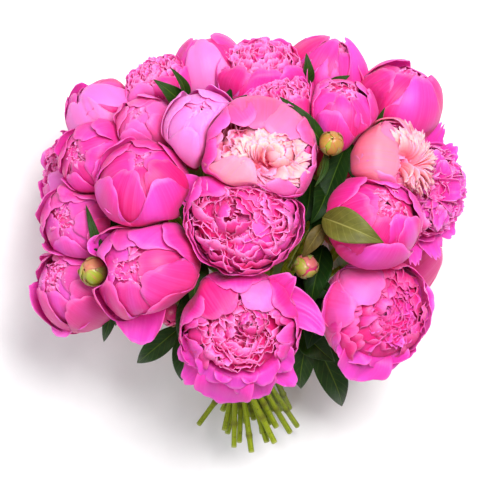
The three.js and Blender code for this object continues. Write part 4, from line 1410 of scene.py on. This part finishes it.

# Leaves on the flower stems, as base, tip, up, width, arch and kind. The deep kind is painted
# shade, for leaves in the shaded gaps.
LOOSE_LEAVES = [
    ((80, 86, 218), (58, 28, 236), (-0.2, -0.2, 1), 22, 5, "deep"),
    ((50, 62, 206), (44, 20, 230), (0.2, -0.3, 1), 24, 5, "deep"),
    ((86, 92, 212), (90, 58, 226), (-0.3, 0, 1), 14, 4, "deep"),
    ((62, 20, 236), (43, -9, 238), (0.1, 0.2, 1), 14, 5, "brown"),
    ((62, 2, 196), (50, -52, 210), (-0.1, -0.1, 1), 26, 6, "deep"),
    ((36, -24, 190), (74, -44, 204), (0, -0.1, 1), 24, 6, "deep"),
    ((70, -40, 160), (48, -92, 158), (-0.1, 0, 1), 26, 6, "deep"),
    ((46, -28, 184), (56, -80, 176), (0, 0, 1), 26, 5, "deep"),
    ((-48, -30, 180), (-66, -92, 168), (0, 0, 1), 26, 6, "plain"),
    ((-58, 22, 214), (-70, 46, 250), (0.6, -0.2, 1), 13, 4, "plain"),
    ((-52, -8, 206), (-54, -50, 222), (0.2, 0, 1), 22, 5, "plain"),
    ((-44, -14, 226), (-12, -19, 250), (0, -0.5, 1), 8, 3, "plain"),
    ((-118, 40, 186), (-124, 4, 206), (0, 0, 1), 20, 5, "plain"),
    ((-68, 80, 200), (-76, 62, 230), (0.2, 0, 1), 14, 3, "plain"),
    ((-22, 118, 214), (-8, 134, 232), (-0.2, 0.2, 1), 11, 3, "plain"),
    ((46, 142, 170), (48, 172, 190), (0.3, 0, 1), 12, 4, "plain"),
    ((66, 140, 190), (84, 153, 204), (0, 0.3, 1), 11, 3, "plain"),
    ((114, 98, 190), (114, 122, 216), (-0.6, 0, 1), 8, 3, "plain"),
    ((-90, 8, 60), (-150, 60, 20), (-0.3, 0.2, -1), 34, 8, "plain"),
    ((90, 4, 60), (152, 56, 24), (0.3, 0.2, -1), 34, 8, "plain"),
    ((0, 60, 30), (10, 110, 6), (0, 0.2, -1), 32, 3, "plain"),
    ((-30, 92, 176), (-66, 132, 206), (-0.5, 0.8, 0.4), 26, 6, "deep"),
    ((-30, 92, 176), (-22, 140, 202), (0.1, 0.8, 0.6), 26, 6, "deep"),
    ((-30, 92, 176), (-46, 142, 182), (-0.2, 0.9, 0.5), 28, 6, "deep"),
    ((60, 26, 246), (111, 5, 270), (-0.1, 0.1, 1), 30, 9, "light"),
]

# A bud: its middle, radius and facing, its stalk's points, and the leaflets on its stalk.
BUDS = {
    "bud_1": (
        (68, 91, 252), 11, (0.1, 0.35, 0.9),
        [(58, 66, 184), (64, 84, 226), (67, 89, 244)],
        [
            ((65, 86, 236), (24, 132, 250), (0.1, 0.1, 1), 14, 8),
            ((64, 85, 234), (56, 54, 256), (0.6, -0.2, 1), 7, 3),
        ],
    ),
    "bud_2": (
        (-143, -22, 214), 13, (-0.55, 0.15, 0.8),
        [(-100, -38, 150), (-124, -32, 186), (-138, -25, 206)],
        [
            ((-133, -20, 204), (-149, 36, 220), (0, 0.1, 1), 9, 6),
            ((-120, -33, 181), (-137, -88, 158), (0, 0, 1), 12, 8),
            ((-124, -32, 186), (-124, -72, 176), (0.2, 0, 1), 10, 6),
        ],
    ),
    "bud_3": (
        (46, -17, 228), 11, (0.2, -0.2, 1),
        [(34, -24, 160), (42, -20, 196), (45, -17, 220)],
        [],
    ),
    "bud_4": (
        (-76, -60, 172), 12, (-0.1, -0.55, 0.8),
        [(-50, -40, 140), (-66, -48, 152), (-74, -56, 164)],
        [],
    ),
}


def make_leaves(lines, leaves, stem):
    """leaves holds a material for each kind of leaf."""
    random = np.random.default_rng(LEAF_SEED)
    kinds = list(leaves)
    shells = [leaf_shell(*leaflet, random.uniform(-1, 1)) for *leaflet, _ in LOOSE_LEAVES]
    which = [kinds.index(kind) for *_, kind in LOOSE_LEAVES]
    piece = build("loose_leaves", shells, list(leaves.values()), which)
    for node, (kind, stalk, leaflets) in LEAVES.items():
        shells, which = leafy_stalk(stalk, leaflets, lines, random)
        piece = build(node + "_blades", shells, [leaves[kind], stem], which)
        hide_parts(node)


def make_buds(lines, leaf, stem, sepal):
    random = np.random.default_rng(BUD_SEED)
    for node, (at, radius, facing, stalk, leaflets) in BUDS.items():
        head = Bloom(node, at, radius, facing, "bud", random.integers(1000))
        grow_guards(head, 3, 0, 3, 75, 0.90, cells=(12, 12), rounding=0.2)
        grow_guards(head, 3, 60, 10, 60, 0.96, cells=(12, 12), rounding=0.3)
        grow_sepals(head, 4, 46, 27, 1.02)
        which = [0] * len(head.shells) + [1] * len(head.sepals)
        materials = [bud_material(node), sepal]
        piece = build(node + "_scales", head.shells + head.sepals, materials, which)
        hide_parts(node)
        shells, which = leafy_stalk(stalk, leaflets, lines, random)
        piece = build(node + "_stalk", shells, [leaf, stem], which)


def ribbon_shell(angle, height, off):
    """Ribbon off mm over the bundle of stems, at angles round it and heights along it."""
    angle, height, off = np.broadcast_arrays(angle, height, off)
    radius = WAIST_RADIUS * np.hypot(1, height / WAIST_SPREAD) + off
    right = np.array([1.0, 0.0, 0.0])
    front = np.cross(right, TIE_AXIS)
    spoke = np.cos(angle)[..., None] * right + np.sin(angle)[..., None] * front
    points = TIE_MIDDLE + height[..., None] * TIE_AXIS + radius[..., None] * spoke
    across, along = grid_axes(*np.subtract(radius.shape, 1))
    look = {"across": across, "along": along, "edge": 0.0, "tone": 0.0, "pale": 0.0}
    return close_sheet(points, np.full(radius.shape, RIBBON_THICK), look)


def make_tie(ribbon):
    """A ribbon wound round the stems, with a knot and two short tails at the front."""
    front = math.pi / 2
    across, turn = grid_axes(RIBBON_CELLS, 72 * RIBBON_TURNS)
    turn = RIBBON_TURNS * turn
    drift = (TIE_WIDTH - RIBBON_WIDTH) / 2 * np.sin(2.2 * turn + 0.6)
    off = 1.3 + 0.55 * turn + 0.25 * np.sin(9 * turn + 3 * across) * across**2
    shells = [ribbon_shell(front + 2 * math.pi * turn, drift + across * RIBBON_WIDTH / 2, off)]
    along = grid_axes(RIBBON_CELLS, 24)[1]
    for side, reach, lift in TAILS:
        angle = front + side * (0.06 + 0.30 * along + 0.10 * across)
        off = 4.2 + lift * np.sin(math.pi * along) + 0.6 * across * np.sin(5 * along)
        shells.append(ribbon_shell(angle, -along * reach, off))
    loop = 2 * math.pi * grid_axes(RIBBON_CELLS, 18)[1]
    angle = front + 0.11 * np.cos(loop) + 0.02 * across
    off = 4.0 + 2.4 * np.sin(loop) * np.sqrt(1 - 0.7 * across**2)
    shells.append(ribbon_shell(angle, across * 4.6 + 0.6 * np.sin(loop), off))
    piece = build("tie_ribbon", shells, [ribbon])
    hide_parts("tie")


# ---- The whole ----

make_camera()
make_studio()
make_table()
stem = stem_material()
sepal = bud_material("sepal")
leaves = {kind: leaf_material(kind) for kind in LEAF_COLOURS}
blooms = make_blooms(petal_material(), sepal)
lines = make_stems(blooms, stem)
make_leaves(lines, leaves, stem)
make_buds(lines, leaves["plain"], stem, sepal)
make_tie(ribbon_material())
